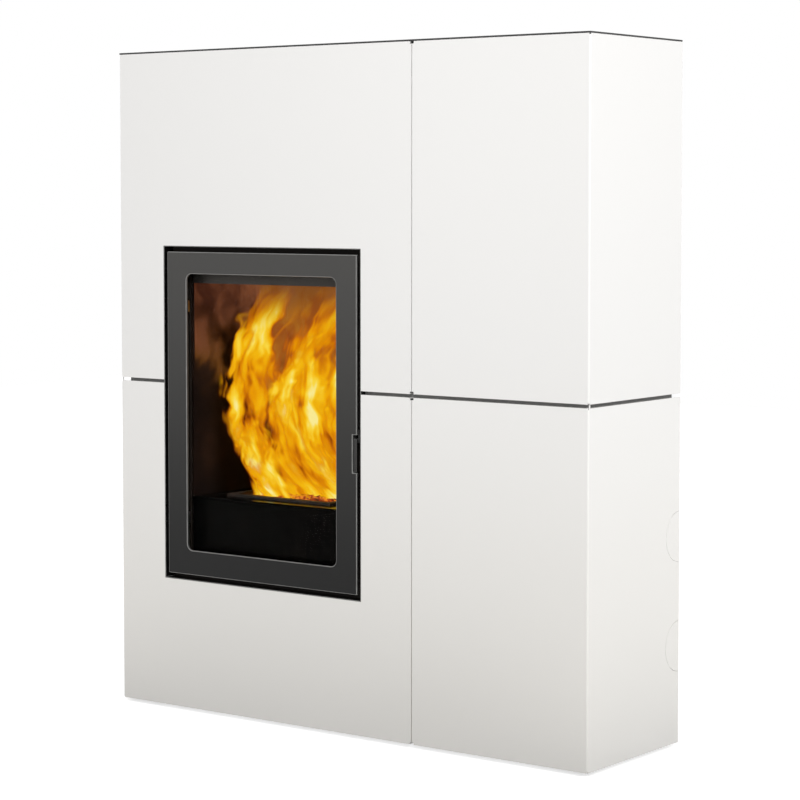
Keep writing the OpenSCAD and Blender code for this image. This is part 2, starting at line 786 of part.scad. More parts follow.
// Slanting duct from under the auger tube into the firebox
module pellet_chute() {
    top = auger_z - auger_out_r + 4;
    knee = chute_knee;
    run = chute_x0 - chute_end;
    color("silver") stove_frame() difference() {
        translate([0, auger_y + chute_w / 2, 0]) rotate([90, 0, 0]) linear_extrude(height = chute_w)
            polygon([
                [chute_x0, top], [chute_x1, top], [chute_x1, knee],
                [chute_end, knee - (chute_x1 - chute_end)], [chute_end, knee - run]
                , [chute_x0, knee]]);
        translate([0, auger_y + chute_w / 2 - 2, 0]) rotate([90, 0, 0]) linear_extrude(height = chute_w - 4)
            polygon([
                [chute_x0 + 2, top + 1], [chute_x1 - 2, top + 1], [chute_x1 - 2, knee + 1],
                [chute_end - 1, knee - (chute_x1 - chute_end) + 2], [chute_end - 1, knee - run - 3]
                , [chute_x0 + 2, knee - 2]]);
        bar_x([auger_x0 - 1, auger_y, auger_z], auger_x1 - auger_x0, auger_out_r);
    }
}

// Firebox
module chute_hole() {
    block([board_x1 - 1, auger_y - chute_w / 2, chute_knee - (chute_x1 - board_x1)],
        [fire_x1 + fire_t + 1, auger_y + chute_w / 2, chute_knee - (chute_x0 - fire_x1 - fire_t)]);
}

module firebox() {
    color("dimgray") stove_frame() difference() {
        union() {
            block([recess_x + trim_t, front_plate_y, recess_z + trim_t],
                [recess_x1 - trim_t, front_plate_back, recess_z1 - trim_t]);
            block([fire_x0 - fire_t, front_plate_back, fire_z0 - fire_t],
                [fire_x1 + fire_t, fire_y1 + fire_t, fire_z1 + fire_t]);
        }
        block([fire_x0, front_plate_back, fire_z0], [fire_x1, fire_y1, fire_z1]);
        block([mouth_x0, front_plate_y - 1, mouth_z0], [mouth_x1, front_plate_back + 1, mouth_z1]);
        chute_hole();
        block([fire_x1 - 1, exhaust_y0 + 8, flue_z - 25], [fire_x1 + fire_t + 1, exhaust_y1 - 8, flue_z + 25]);
        bar_y([pot_x, fire_y1 - 1, hearth_z0 - 15], fire_t + 2, igniter_r + pin_clear);
    }
}

// Two bent feet that carry the firebox on the base plate
module firebox_stand() {
    z1 = fire_z0 - fire_t;
    y0 = front_plate_back + stand_front;
    y1 = fire_y1 - stand_rear;
    color("gray") stove_frame() for (x = [fire_x0 + 10, fire_x1 - 12]) {
        block([x, y0, floor_z], [x + frame_t, y1, z1]);
        block([x - 20, y0, z1 - frame_t], [x + frame_t, y1, z1]);
        block([x - 20, y0, floor_z], [x + frame_t, y1, floor_z + frame_t]);
    }
}

module fire_board_back() {
    color("tan") stove_frame() difference() {
        block([fire_x0, board_y1, hearth_z], [fire_x1, fire_y1, fire_z1 - 30]);
        for (x = [board_x0 + 30 : 40 : board_x1 - 30]) {
            block([x, board_y1 - 1, hearth_z + 20], [x + 12, board_y1 + 4, fire_z1 - 50]);
        }
    }
}
module fire_board_left() {
    color("tan") stove_frame()
        block([fire_x0, front_plate_back, hearth_z], [board_x0, board_y1, fire_z1 - 30]);
}
module fire_board_right() {
    color("tan") stove_frame() difference() {
        block([board_x1, front_plate_back, hearth_z], [fire_x1, board_y1, fire_z1 - 30]);
        chute_hole();
    }
}
module baffle() {
    z = fire_z1 - 30;
    color("dimgray") stove_frame() difference() {
        block([fire_x0, front_plate_back + 40, z], [fire_x1, fire_y1, z + 6]);
        block([fire_x0 + 60, board_y1 - 10, z - 1], [fire_x1 - 60, fire_y1 + 1, z + 7]);
    }
}

// Plate with the burn pot's opening, on two ledges at the firebox sides
module hearth_plate() {
    color("black") stove_frame() {
        difference() {
            block([fire_x0, front_plate_back + 2, hearth_z0], [fire_x1, fire_y1, hearth_z]);
            block([pot_x0 - pot_clear, pot_y0 - pot_clear, hearth_z0 - 1],
                [pot_x1 + pot_clear, pot_y1 + pot_clear, hearth_z + 1]);
        }
        block([fire_x0, front_plate_back + 2, hearth_z0 - 10],
            [fire_x0 + 3, fire_y1, hearth_z0]);
    }
}

// Open box with a grate floor, hung by its rim in the hearth plate
module burn_pot() {
    z0 = hearth_z - pot_h;
    color("dimgray") stove_frame() difference() {
        union() {
            block([pot_x0, pot_y0, z0], [pot_x1, pot_y1, hearth_z]);
            block([pot_x0 - pot_rim, pot_y0 - pot_rim, hearth_z],
                [pot_x1 + pot_rim, pot_y1 + pot_rim, hearth_z + 4]);
        }
        block([pot_x0 + pot_t, pot_y0 + pot_t, z0 + pot_t], [pot_x1 - pot_t, pot_y1 - pot_t, hearth_z + 5]);
        for (x = [pot_x0 + 14 : 12 : pot_x1 - 14], y = [pot_y0 + 15 : 15 : pot_y1 - 14]) {
            bar_z([x, y, z0 - 1], pot_t + 2, 3);
        }
        bar_y([pot_x, pot_y1 - pot_t - 1, hearth_z0 - 15], pot_t + 2, igniter_r + 1);
    }
}

module ash_pan() {
    x0 = mouth_x0 + pan_clear;
    x1 = mouth_x1 - pan_clear;
    y0 = front_plate_back + 1;
    y1 = fire_y1 - 25;
    z1 = fire_z0 + pan_h;
    color("black") stove_frame() difference() {
        union() {
            block([x0, y0, fire_z0], [x1, y1, z1]);
            block([x0, y0, mouth_z0 + 1], [x1, y0 + 3, hearth_z0 - 1]);
        }
        block([x0 + pan_t, y0 + 3, fire_z0 + pan_t], [x1 - pan_t, y1 - pan_t, z1 + 1]);
    }
}

module igniter() {
    color("silver") stove_frame() {
        bar_y([pot_x, pot_y1 + pot_clear, hearth_z0 - 15], fire_y1 + fire_t - pot_y1 - pot_clear, igniter_r);
        bar_y([pot_x, fire_y1 + fire_t, hearth_z0 - 15], 8, igniter_r + 6);
    }
}

// Angle strip behind the top of the window that turns air down over the glass
module airwash_strip() {
    z0 = window_z1 - 17;
    color("dimgray") stove_frame() {
        block([board_x0, front_plate_back, z0], [board_x1, front_plate_back + 2, mouth_z1]);
        block([board_x0, front_plate_back, mouth_z1], [board_x1, front_plate_back + 14, mouth_z1 + 2]);
    }
}

// Door
module recess_trim() {
    color("black") stove_frame()
        front_ring(recess_x, recess_z, recess_x1, recess_z1, trim_t, trim_t, 0, front_plate_back);
}

// Window outline with rounded corners, cut through from y0 to y1
module window_hole(y0, y1) {
    r = window_r;
    block([window_x0 + r, y0, window_z0], [window_x1 - r, y1, window_z1]);
    block([window_x0, y0, window_z0 + r], [window_x1, y1, window_z1 - r]);
    for (x = [window_x0 + r, window_x1 - r], z = [window_z0 + r, window_z1 - r]) {
        bar_y([x, y0, z], y1 - y0, r);
    }
}

module door_plate() {
    color("dimgray") stove_frame() difference() {
        block([door_x0, 0, door_z0], [door_x1, door_t, door_z1]);
        window_hole(-1, door_t + 1);
        block([notch_x0, -1, notch_z0], [door_x1 + 1, door_t + 1, notch_z1]);
    }
}

// Pressed frame behind the face plate, with the hinge knuckles and the latch ears on it
module door_inner_frame() {
    x0 = bed_x0 - inner_w;
    x1 = bed_x1 + inner_w;
    color("dimgray") stove_frame() difference() {
        union() {
            front_ring(x0, bed_z0 - inner_w, x1, bed_z1 + inner_w, inner_w, inner_w, door_t, inner_back);
            for (z = [hinge_lo, hinge_hi]) {
                bar_z([hinge_px, hinge_d, z], knuckle_h, knuckle_r);
                block([hinge_px, hinge_d - 3, z], [x0 + 1, hinge_d + 3, z + knuckle_h]);
            }
            for (x = [lever_x0 - 5, lever_x1 + 0.5]) {
                block([x, latch_d - latch_barrel_r, latch_z - latch_barrel_r],
                    [x + 3.5, latch_d + latch_barrel_r, notch_z1 + 8]);
            }
            block([x1 - 1, door_t, notch_z1 + 2], [lever_x1 + 4, latch_d + latch_barrel_r, notch_z1 + 8]);
        }
        for (z = [hinge_lo, hinge_hi]) {
            bar_z([hinge_px, hinge_d, z - 1], knuckle_h + 2, hinge_pin_r + pin_clear);
        }
        bar_x([lever_x0 - 6, latch_d, latch_z], 20, latch_pin_r + pin_clear / 2);
    }
}

module door_glass() {
    color("black") stove_frame()
        block([glass_x0, glass_y, glass_z0], [glass_x1, glass_back, glass_z1]);
}

module glass_seal() {
    color("black") stove_frame()
        front_ring(glass_x0, glass_z0, glass_x1, glass_z1, glass_lap - 1, glass_lap - 1, door_t, glass_y);
}

module door_seal() {
    x0 = bed_x0 - inner_w + (inner_w - rope_w) / 2;
    x1 = bed_x1 + inner_w - (inner_w - rope_w) / 2;
    z0 = bed_z0 - inner_w + (inner_w - rope_w) / 2;
    z1 = bed_z1 + inner_w - (inner_w - rope_w) / 2;
    color("black") stove_frame()
        front_ring(x0, z0, x1, z1, rope_w, rope_w, inner_back, front_plate_y - soft_clear);
}

module glass_clips() {
    color("silver") stove_frame() {
        for (z = [bed_z0 + 60, bed_z1 - 80]) {
            glass_clip(bed_x0, z, 1);
            glass_clip(bed_x1, z, -1);
        }
        for (x = [window_x0 + 60, window_x1 - 80]) {
            block([x, glass_back, bed_z0], [x + 20, inner_back - 1, bed_z0 + 2]);
            block([x, glass_back, bed_z0], [x + 20, glass_back + 1.5, bed_z0 + 9]);
            block([x, glass_back, bed_z1 - 2], [x + 20, inner_back - 1, bed_z1]);
            block([x, glass_back, bed_z1 - 9], [x + 20, glass_back + 1.5, bed_z1]);
        }
    }
}
module glass_clip(x, z, side) {
    translate([x, 0, z]) mirror([side < 0 ? 1 : 0, 0, 0]) {
        block([0, glass_back, 0], [2, inner_back - 1, 20]);
        block([0, glass_back, 0], [9, glass_back + 1.5, 20]);
    }
}

// Fixed brackets and pins that the door turns on
module door_hinges() {
    color("silver") stove_frame() for (z = [hinge_lo, hinge_hi]) {
        bar_z([hinge_px, hinge_d, z - hinge_arm_h - 0.5], knuckle_h + 2 * hinge_arm_h + 1, hinge_pin_r);
        for (a = [z - hinge_arm_h - 0.5, z + knuckle_h + 0.5]) {
            bar_z([hinge_px, hinge_d, a], hinge_arm_h, hinge_pin_r + 2.5);
            block([hinge_px - 3, hinge_d, a], [hinge_px + 5.5, front_plate_y, a + hinge_arm_h]);
        }
    }
}

// Blade in the finger notch, with its barrel and the hook behind it
module latch_lever() {
    z0 = notch_z0 + lever_clear;
    z1 = latch_z + latch_barrel_r;
    claw = keeper_lip - 0.5;
    color("black") stove_frame() difference() {
        union() {
            block([lever_x0, 1, z0], [lever_x1, 1 + lever_t, z1]);
            bar_x([lever_x0, latch_d, latch_z], lever_x1 - lever_x0, latch_barrel_r);
            block([lever_x0, 1, latch_z - 3], [lever_x1, latch_d, latch_z + 3]);
            block([lever_x0, latch_d, latch_z - latch_barrel_r],
                [lever_x1, hook_y, latch_z - latch_barrel_r + hook_t]);
            block([lever_x0, hook_y - 2, latch_z - latch_barrel_r], [lever_x1, hook_y, claw]);
        }
        bar_x([lever_x0 - 1, latch_d, latch_z], lever_x1 - lever_x0 + 2, latch_pin_r + pin_clear);
    }
}

module latch_pin() {
    color("silver") stove_frame()
        bar_x([lever_x0 - 5, latch_d, latch_z], lever_x1 - lever_x0 + 9, latch_pin_r);
}

// Fixed lip that the raised hook holds behind
module latch_keeper() {
    y0 = hook_y - 5;
    color("silver") stove_frame() {
        block([lever_x0, y0, keeper_lip], [lever_x1, y0 + 2, keeper_lip + 8]);
        block([lever_x0, y0, keeper_lip + 6], [lever_x1, front_plate_y, keeper_lip + 8]);
    }
}

// Blowers
module exhaust_housing() {
    duct_y0 = exhaust_y0 + 8;
    duct_y1 = exhaust_y1 - 8;
    color("gray") stove_frame() difference() {
        union() {
            bar_y([exhaust_x, exhaust_y0, flue_z], exhaust_d, exhaust_r);
            block([fire_x1 + fire_t, duct_y0, flue_z - 25], [exhaust_x, duct_y1, flue_z + 25]);
            block([exhaust_x, exhaust_y0, flue_z + exhaust_r - 55],
                [flue_x + flue_r, exhaust_y1, flue_z + exhaust_r]);
            block([flue_x - flue_r, exhaust_y0, flue_z - flue_r], [flue_x + flue_r, exhaust_y1, flue_z + exhaust_r]);
        }
        bar_y([exhaust_x, exhaust_y0 + 2, flue_z], exhaust_d - 4, exhaust_r - 2);
        block([fire_x1, duct_y0 + 2, flue_z - 23], [exhaust_x, duct_y1 - 2, flue_z + 23]);
        block([exhaust_x, exhaust_y0 + 2, flue_z + exhaust_r - 53],
            [flue_x + flue_r - 2, exhaust_y1 - 2, flue_z + exhaust_r - 2]);
        block([flue_x - flue_r + 2, exhaust_y0 + 2, flue_z - flue_r + 2],
            [flue_x + flue_r - 2, exhaust_y1 - 2, flue_z + exhaust_r - 2]);
        bar_y([exhaust_x, exhaust_y0 - 1, flue_z], 4, 5 + pin_clear);
        bar_y([flue_x, exhaust_y1 - 3, flue_z], 4, flue_r - 1 - collar_t);
    }
}

// Back disc with straight blades on a hub and shaft, turning about a front to back axis
module exhaust_impeller() {
    r = exhaust_r - 8;
    color("silver") stove_frame() translate([exhaust_x, 0, flue_z]) {
        bar_y([0, exhaust_y0 + 6, 0], 3, r);
        bar_y([0, exhaust_y0 + 6, 0], exhaust_d - 16, 12);
        bar_y([0, exhaust_y0 - 20, 0], 28, 5);
        for (a = [0 : 360 / blades : 359]) rotate([0, a, 0])
            block([r - 28, exhaust_y0 + 8, -1], [r - 2, exhaust_y1 - 12, 1]);
    }
}

module exhaust_motor() {
    color("dimgray") stove_frame() difference() {
        union() {
            bar_y([exhaust_x, exhaust_y0 - 70, flue_z], 55, 34);
            for (a = [0, 120, 240]) translate([exhaust_x, 0, flue_z]) rotate([0, a, 0])
                bar_y([26, exhaust_y0 - 16, 0], 16, 4);
        }
        bar_y([exhaust_x, exhaust_y0 - 24, flue_z], 30, 5 + pin_clear);
    }
}

// Spigot that a pipe slides over, with a narrower neck through the recess wall
module collar(z, r, y0) {
    neck_r = r - 1;
    start = pocket_y + sheet;
    difference() {
        union() {
            bar_y([flue_x, start, z], pocket_y + collar_len - start, r);
            bar_y([flue_x, y0, z], start - y0 + 1, neck_r);
        }
        bar_y([flue_x, y0 - 1, z], pocket_y + collar_len - y0 + 2, neck_r - collar_t);
    }
}
module flue_collar() {
    color("dimgray") stove_frame() collar(flue_z, flue_r, exhaust_y1);
}
module air_inlet() {
    color("dimgray") stove_frame() collar(air_z, air_r, pocket_y - air_reach);
}

// Scroll round the cross-flow rotor, with its two end walls
module convection_housing() {
    x0 = rotor_x0 - 6;
    length = rotor_w + 12;
    color("gray") stove_frame() {
        translate([x0, rotor_y, rotor_z]) rotate([90, 0, 90]) linear_extrude(height = length) difference() {
            union() {
                circle(r = scroll_r + frame_t);
                translate([-scroll_r - frame_t, 0]) square([frame_t, scroll_h]);
                translate([0, -scroll_r - frame_t]) square([scroll_r + 20, frame_t]);
            }
            circle(r = scroll_r);
            translate([-scroll_r, 0]) square([2 * scroll_r + 30, scroll_h + 5]);
        }
        for (x = [x0 - frame_t, x0 + length]) difference() {
            translate([x, rotor_y - scroll_r - frame_t, floor_z])
                cube([frame_t, 2 * scroll_r + 2 * frame_t, rotor_z + scroll_h - floor_z]);
            bar_x([x - 1, rotor_y, rotor_z], frame_t + 2, 4 + pin_clear);
        }
    }
}

module convection_rotor() {
    color("silver") stove_frame() translate([rotor_x0, rotor_y, rotor_z]) {
        bar_x([-9, 0, 0], rotor_w + 18, 4);
        for (x = [0, rotor_w / 2 - 1, rotor_w - 2]) bar_x([x, 0, 0], 2, rotor_r);
        for (a = [0 : 360 / blades : 359]) rotate([a, 0, 0])
            block([0, rotor_r - 9, -0.6], [rotor_w, rotor_r - 1, 0.6]);
    }
}

module control_box() {
    color("black") stove_frame()
        block([partition_x1, frame_y0 + post_w, control_z],
        [partition_x1 + control_t, frame_y0 + post_w + control_d, control_z + control_h]);
}

// Socket for a mains lead, with the housing that carries the rocker below it
module mains_inlet() {
    z = switch_z + 34;
    color("black") stove_frame() difference() {
        union() {
            block([switch_x - 12, rear_y - 22, z - 14], [switch_x + 12, frame_y1, z + 14]);
            block([switch_x - 16, frame_y1, z - 17], [switch_x + 16, frame_y1 + 1.5, z + 17]);
            block([switch_x - 16, rear_y - 22, switch_z - 12], [switch_x + 16, rear_y, z - 13]);
        }
        block([switch_x - 9, rear_y - 15, z - 8], [switch_x + 9, frame_y1 + 3, z + 8]);
        block([switch_x - rocker_w / 2 - 0.5, rear_y - 12, switch_z - 9],
            [switch_x + rocker_w / 2 + 0.5, frame_y1 + 1, switch_z + 9]);
        bar_x([switch_x - rocker_w / 2 - 3, rear_y - 4, switch_z], rocker_w + 6, 2 + pin_clear);
    }
}

// Rocker with its cross axle in the housing
module rocker_switch() {
    color("black") stove_frame() {
        translate([switch_x - rocker_w / 2, rear_y - 4, switch_z]) rotate([90, 0, 90])
            linear_extrude(height = rocker_w)
                polygon([[-5, -4], [3, -6], [7, -6], [5.5, 0], [7, 6], [3, 6], [-5, 4]]);
        bar_x([switch_x - rocker_w / 2 - 2.5, rear_y - 4, switch_z], rocker_w + 5, 2);
    }
}

base_plate();
foot_front_left();
foot_front_right();
foot_rear_left();
foot_rear_right();
post_front_left();
post_front_right();
post_rear_left();
post_rear_right();
partition();
mid_rail();
top_frame();
rear_panel();
duct_recess();
upper_left_panel();
lower_left_panel();
upper_right_panel();
lower_right_panel();
top_plate();
hopper_lid();
hopper_lid_seal();
lid_hinge_brackets();
hopper();
auger_tube();
auger_screw();
auger_gearmotor();
pellet_chute();
firebox();
firebox_stand();
fire_board_back();
fire_board_left();
fire_board_right();
baffle();
hearth_plate();
burn_pot();
ash_pan();
igniter();
airwash_strip();
recess_trim();
door_plate();
door_inner_frame();
door_glass();
glass_seal();
door_seal();
glass_clips();
door_hinges();
latch_lever();
latch_pin();
latch_keeper();
exhaust_housing();
exhaust_impeller();
exhaust_motor();
flue_collar();
air_inlet();
convection_housing();
convection_rotor();
control_box();
mains_inlet();
rocker_switch();
rear_screws();
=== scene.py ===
# %% [markdown]
# # A slim pellet stove
# The stove is a tall, narrow box of folded white steel with a black framed window door. Its solids
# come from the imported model, so this lesson gives them their finishes, softens their edges, adds what
# is too fine or too soft for the solids (seals, embers, fire), and lights them like a studio photograph.
# Everything is in metres: +Z is up and the front faces -Y.

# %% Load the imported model
import json
import math
import random

import bmesh
import bpy
from mathutils import Matrix, Vector


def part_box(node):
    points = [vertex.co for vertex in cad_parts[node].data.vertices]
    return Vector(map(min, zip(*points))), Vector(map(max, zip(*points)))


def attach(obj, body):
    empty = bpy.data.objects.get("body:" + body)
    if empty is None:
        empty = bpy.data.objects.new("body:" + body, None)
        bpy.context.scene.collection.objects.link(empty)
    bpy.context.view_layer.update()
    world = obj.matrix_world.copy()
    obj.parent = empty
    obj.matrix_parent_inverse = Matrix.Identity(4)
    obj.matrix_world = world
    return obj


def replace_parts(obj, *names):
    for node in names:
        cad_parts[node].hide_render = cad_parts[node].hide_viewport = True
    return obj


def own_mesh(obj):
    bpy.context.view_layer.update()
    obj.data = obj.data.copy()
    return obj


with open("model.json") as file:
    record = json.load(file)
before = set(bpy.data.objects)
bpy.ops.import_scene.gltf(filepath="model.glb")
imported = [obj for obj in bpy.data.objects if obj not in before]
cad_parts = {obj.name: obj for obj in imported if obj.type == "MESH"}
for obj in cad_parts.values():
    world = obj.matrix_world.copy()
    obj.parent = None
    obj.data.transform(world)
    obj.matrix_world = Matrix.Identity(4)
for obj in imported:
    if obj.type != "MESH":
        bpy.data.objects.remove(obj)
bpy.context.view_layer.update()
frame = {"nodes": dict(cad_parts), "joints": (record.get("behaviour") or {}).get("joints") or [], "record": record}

# %% [markdown]
# ## The photograph's point of view
# A photograph of a tall box is usually taken at mid height with a long lens, so that its uprights stay
# nearly upright. A small upward shift of the lens keeps them so without tilting the camera much.

# %% Camera
AZIMUTH, PITCH = math.radians(36.75), math.radians(-3.46)
FOCAL_LENGTH, LENS_SHIFT = 109.9, -0.07
STANDPOINT = (2.547, -3.378, 0.919)

eye = bpy.data.cameras.new("studio_camera")
eye.lens, eye.sensor_width, eye.shift_y = FOCAL_LENGTH, 36.0, LENS_SHIFT
camera = bpy.data.objects.new("studio_camera", eye)
bpy.context.scene.collection.objects.link(camera)
camera.location = STANDPOINT
camera.rotation_euler = (math.pi / 2 + PITCH, 0, AZIMUTH)
bpy.context.scene.camera = camera
bpy.context.scene.view_settings.view_transform = "Standard"
print("camera", tuple(camera.location))

# %% [markdown]
# ## Shader maths that reads like Python
# A finish is a tree of nodes. Wiring each Math node by hand hides the idea, so `Field` wraps one socket
# and overloads the operators: `1 - mask * 0.5` adds its nodes by itself. `Finish.node` makes any other
# node from its type, its settings and the values or links of its sockets.

# %% The field of a shader
class Field:
    def __init__(self, finish, socket):
        self.finish, self.socket = finish, socket

    def math(self, operation, *others, flip=False):
        terms = [*others, self] if flip else [self, *others]
        return self.finish.node("ShaderNodeMath", {"operation": operation}, terms)

    def __add__(self, other):
        return self.math("ADD", other)

    def __radd__(self, other):
        return self.math("ADD", other)

    def __sub__(self, other):
        return self.math("SUBTRACT", other)

    def __rsub__(self, other):
        return self.math("SUBTRACT", other, flip=True)

    def __mul__(self, other):
        return self.math("MULTIPLY", other)

    def __rmul__(self, other):
        return self.math("MULTIPLY", other)

    def between(self, start, end):
        """0 before start, 1 after end, and smooth in between."""
        settings = {"interpolation_type": "SMOOTHSTEP"}
        return self.finish.node("ShaderNodeMapRange", settings, {0: self, 1: start, 2: end, 3: 0.0, 4: 1.0})


# %% [markdown]
# ## A finish
# One object per material: it holds the shader, sets plain values on its own sockets, and has the few
# helpers that the recipes below share, such as noise in real millimetres and a bump.

# %% The finish class
class Finish:
    def __init__(self, name, color=(0.8, 0.8, 0.8), roughness=0.5, **plain):
        self.material = bpy.data.materials.new(name)
        self.material.use_nodes = True
        self.tree = self.material.node_tree
        self.shader = self.tree.nodes["Principled BSDF"]
        self.output = self.tree.nodes["Material Output"]
        self.set("Base Color", (*color, 1.0))
        self.set("Roughness", roughness)
        for key, value in plain.items():
            self.set(key.replace("_", " ").title().replace("Ior", "IOR"), value)

    def set(self, name, value):
        self.plug(self.shader.inputs[name], value)

    def plug(self, socket, value):
        if isinstance(value, Field):
            self.tree.links.new(value.socket, socket)
        else:
            socket.default_value = value

    def node(self, kind, settings=None, inputs=(), out=0):
        made = self.tree.nodes.new(kind)
        for name, value in (settings or {}).items():
            if name == "stops":
                self.stops(made.color_ramp, value)
            else:
                setattr(made, name, value)
        pairs = inputs.items() if isinstance(inputs, dict) else enumerate(inputs)
        for key, value in pairs:
            self.plug(made.inputs[key], value)
        return Field(self, made.outputs[out])

    def stops(self, ramp, stops):
        while len(ramp.elements) < len(stops):
            ramp.elements.new(0.5)
        for element, (place, color) in zip(ramp.elements, stops):
            element.position, element.color = place, (*color, 1.0)

    def place(self):
        """Object coordinates: metres from the origin, so a pattern has its real size on every piece."""
        return self.node("ShaderNodeTexCoord", out=3)

    def stretched(self, scale):
        return self.node("ShaderNodeMapping", {}, {0: self.place(), 3: scale})

    def own_map(self):
        """The piece's own UV map, for a pattern that follows the surface."""
        return self.node("ShaderNodeUVMap", {"uv_map": "UVMap"})

    def drifting(self, size, amount, scale, shift, where=None):
        """Place pushed about by clouds of the given size, by up to about amount metres."""
        where = where or self.place()
        clouds = self.node("ShaderNodeTexNoise", {}, {"Vector": where, "Scale": 1 / size, "Detail": 2.0}, out=1)
        centred = self.node("ShaderNodeVectorMath", {"operation": "SUBTRACT"}, [clouds, (0.5, 0.5, 0.5)])
        push = self.node("ShaderNodeVectorMath", {"operation": "SCALE"}, {0: centred, "Scale": amount})
        moved = self.node("ShaderNodeVectorMath", {"operation": "ADD"}, [where, push])
        return self.node("ShaderNodeMapping", {}, {0: moved, 1: shift, 3: scale})

    def noise(self, size, detail=2.0, where=None):
        """Cloudy pattern whose blobs are about size metres across."""
        inputs = {"Vector": where or self.place(), "Scale": 1 / size, "Detail": detail}
        return self.node("ShaderNodeTexNoise", {}, inputs)

    def axis(self, letter, where=None):
        return self.node("ShaderNodeSeparateXYZ", {}, [where or self.place()], out="XYZ".index(letter))

    def blend(self, amount, first, second):
        first = first if isinstance(first, Field) else (*first, 1.0)
        second = second if isinstance(second, Field) else (*second, 1.0)
        settings = {"data_type": "RGBA", "clamp_factor": True}
        return self.node("ShaderNodeMix", settings, {0: amount, 6: first, 7: second}, out=2)

    def bump(self, height, depth):
        """Bump whose full height is depth metres."""
        inputs = {"Strength": 1.0, "Distance": depth, "Height": height}
        self.set("Normal", self.node("ShaderNodeBump", {}, inputs))


print("shader helpers ready")

# %% [markdown]
# ## White enamel for the casing
# The panels are smooth folded steel under a thick gloss coat. Plain white would look like paper, so the
# coat has its own sharp reflection over a faintly wavy base, the orange peel of a sprayed finish. Towards
# the foot the white is painted a little darker and warmer: a painted reflection of the floor and painted shade.

# %% Casing enamel
def casing_enamel():
    finish = Finish("casing_enamel", (0.9, 0.892, 0.876), 0.25, coat_weight=1.0, coat_roughness=0.03)
    peel = finish.noise(0.012, 2.0) * 0.7 + finish.noise(0.0016, 1.0) * 0.3
    finish.set("Roughness", finish.noise(0.2, 3.0) * 0.08 + 0.2)
    # painted reflection and painted shade: the base colour is darker and warmer towards the foot, where the casing
    # would reflect the floor
    foot = 1 - finish.axis("Z").between(0.0, 0.75)
    finish.set("Base Color", finish.blend(foot, (0.888, 0.882, 0.87), (0.872, 0.853, 0.812)))
    finish.bump(peel, 0.00004)
    return finish.material


paint = {"enamel": casing_enamel()}
print("finishes:", *paint)

# %% [markdown]
# ## Dark coats
# Two dark coats are easy to mix up: the matt powder coat of the plates and the smoother grey-black paint
# of the door. What tells them apart is the size of the grain and how wide the highlight is. The door's
# paint has light and shade painted into its colour: paler at the top, where it faces the bright room, darker at
# the foot.

# %% Powder coat and door paint
def powder_coat():
    finish = Finish("powder_coat", (0.018, 0.018, 0.018), 0.45)
    grain = finish.noise(0.0012, 2.0)
    finish.set("Roughness", grain * 0.25 + 0.32)
    finish.set("Base Color", finish.blend(grain, (0.012, 0.012, 0.012), (0.028, 0.028, 0.027)))
    finish.bump(grain, 0.00012)
    return finish.material


def door_paint():
    finish = Finish("door_paint", (0.05, 0.05, 0.048), 0.4, specular_ior_level=0.2)
    flake = finish.noise(0.0007, 2.0)
    cloud = finish.noise(0.15, 3.0)
    # painted light and shade: the door's colour blends by height from a shaded copy at the foot to a lit copy at
    # the top
    painted_light_and_shade = finish.axis("Z").between(0.2, 0.86)
    dark = finish.blend(flake, (0.006, 0.006, 0.006), (0.012, 0.012, 0.012))
    light = finish.blend(flake, (0.055, 0.054, 0.052), (0.085, 0.083, 0.08))
    finish.set("Base Color", finish.blend(painted_light_and_shade, dark, light))
    finish.set("Roughness", flake * 0.12 + cloud * 0.06 + 0.3)
    finish.bump(flake, 0.00003)
    return finish.material


paint.update(powder=powder_coat(), door=door_paint())
print("finishes:", *paint)

# %% [markdown]
# The lining round the door is deep gloss black. The softened edges get a finish of their own, a pale grey
# that is a painted highlight: it draws the fine pale line where an edge catches the light.

# %% Gloss black and painted edge highlight
def black_gloss():
    finish = Finish("black_gloss", (0.006, 0.006, 0.006), 0.15)
    wave = finish.noise(0.03, 2.0)
    finish.set("Roughness", wave * 0.12 + 0.1)
    finish.bump(wave, 0.0001)
    return finish.material


def painted_edge_highlight():
    """Pale grey for the softened edges: a painted highlight, the line where an edge catches the light."""
    finish = Finish("painted_edge_highlight", (0.2, 0.2, 0.19), 0.4)
    # painted highlight: a pale grey with a random tone over the rounds of the edges
    highlight_tone = finish.noise(0.02, 3.0)
    finish.set("Base Color", finish.blend(highlight_tone, (0.13, 0.13, 0.125), (0.32, 0.32, 0.31)))
    finish.set("Roughness", highlight_tone * 0.2 + 0.25)
    return finish.material


paint.update(gloss=black_gloss(), edge=painted_edge_highlight())
print("finishes:", *paint)

# %% [markdown]
# Inside the fire chamber nothing stays clean: the smooth hearth front is nearly black, and the steel
# behind it is dull with soot, whose clouds change both its colour and its roughness.

# %% Hearth and soot
def hearth_gloss():
    finish = Finish("hearth_gloss", (0.004, 0.004, 0.004), 0.16, specular_ior_level=0.02)
    dust = finish.noise(0.04, 4.0).between(0.45, 0.8)
    finish.set("Roughness", dust * 0.1 + 0.14)
    finish.set("Base Color", finish.blend(dust, (0.001, 0.001, 0.001), (0.003, 0.0025, 0.002)))
    return finish.material


def sooty_steel():
    finish = Finish("sooty_steel", (0.02, 0.017, 0.015), 0.8, specular_ior_level=0.25)
    soot = finish.noise(0.04, 5.0)
    finish.set("Base Color", finish.blend(soot, (0.006, 0.005, 0.0045), (0.03, 0.024, 0.02)))
    finish.set("Roughness", soot * 0.25 + 0.6)
    finish.bump(finish.noise(0.002, 3.0), 0.0002)
    return finish.material


paint.update(hearth=hearth_gloss(), soot=sooty_steel())
print("finishes:", *paint)

# %% [markdown]
# ## Metals
# Galvanised sheet shows flat crystals of zinc, each a slightly different grey, which cells of a Voronoi
# texture give. Turned steel has fine lines, which noise squeezed along one direction gives. The grey
# frame paint and the cast iron of the pot need only a grain and, on the iron, patches of rust.

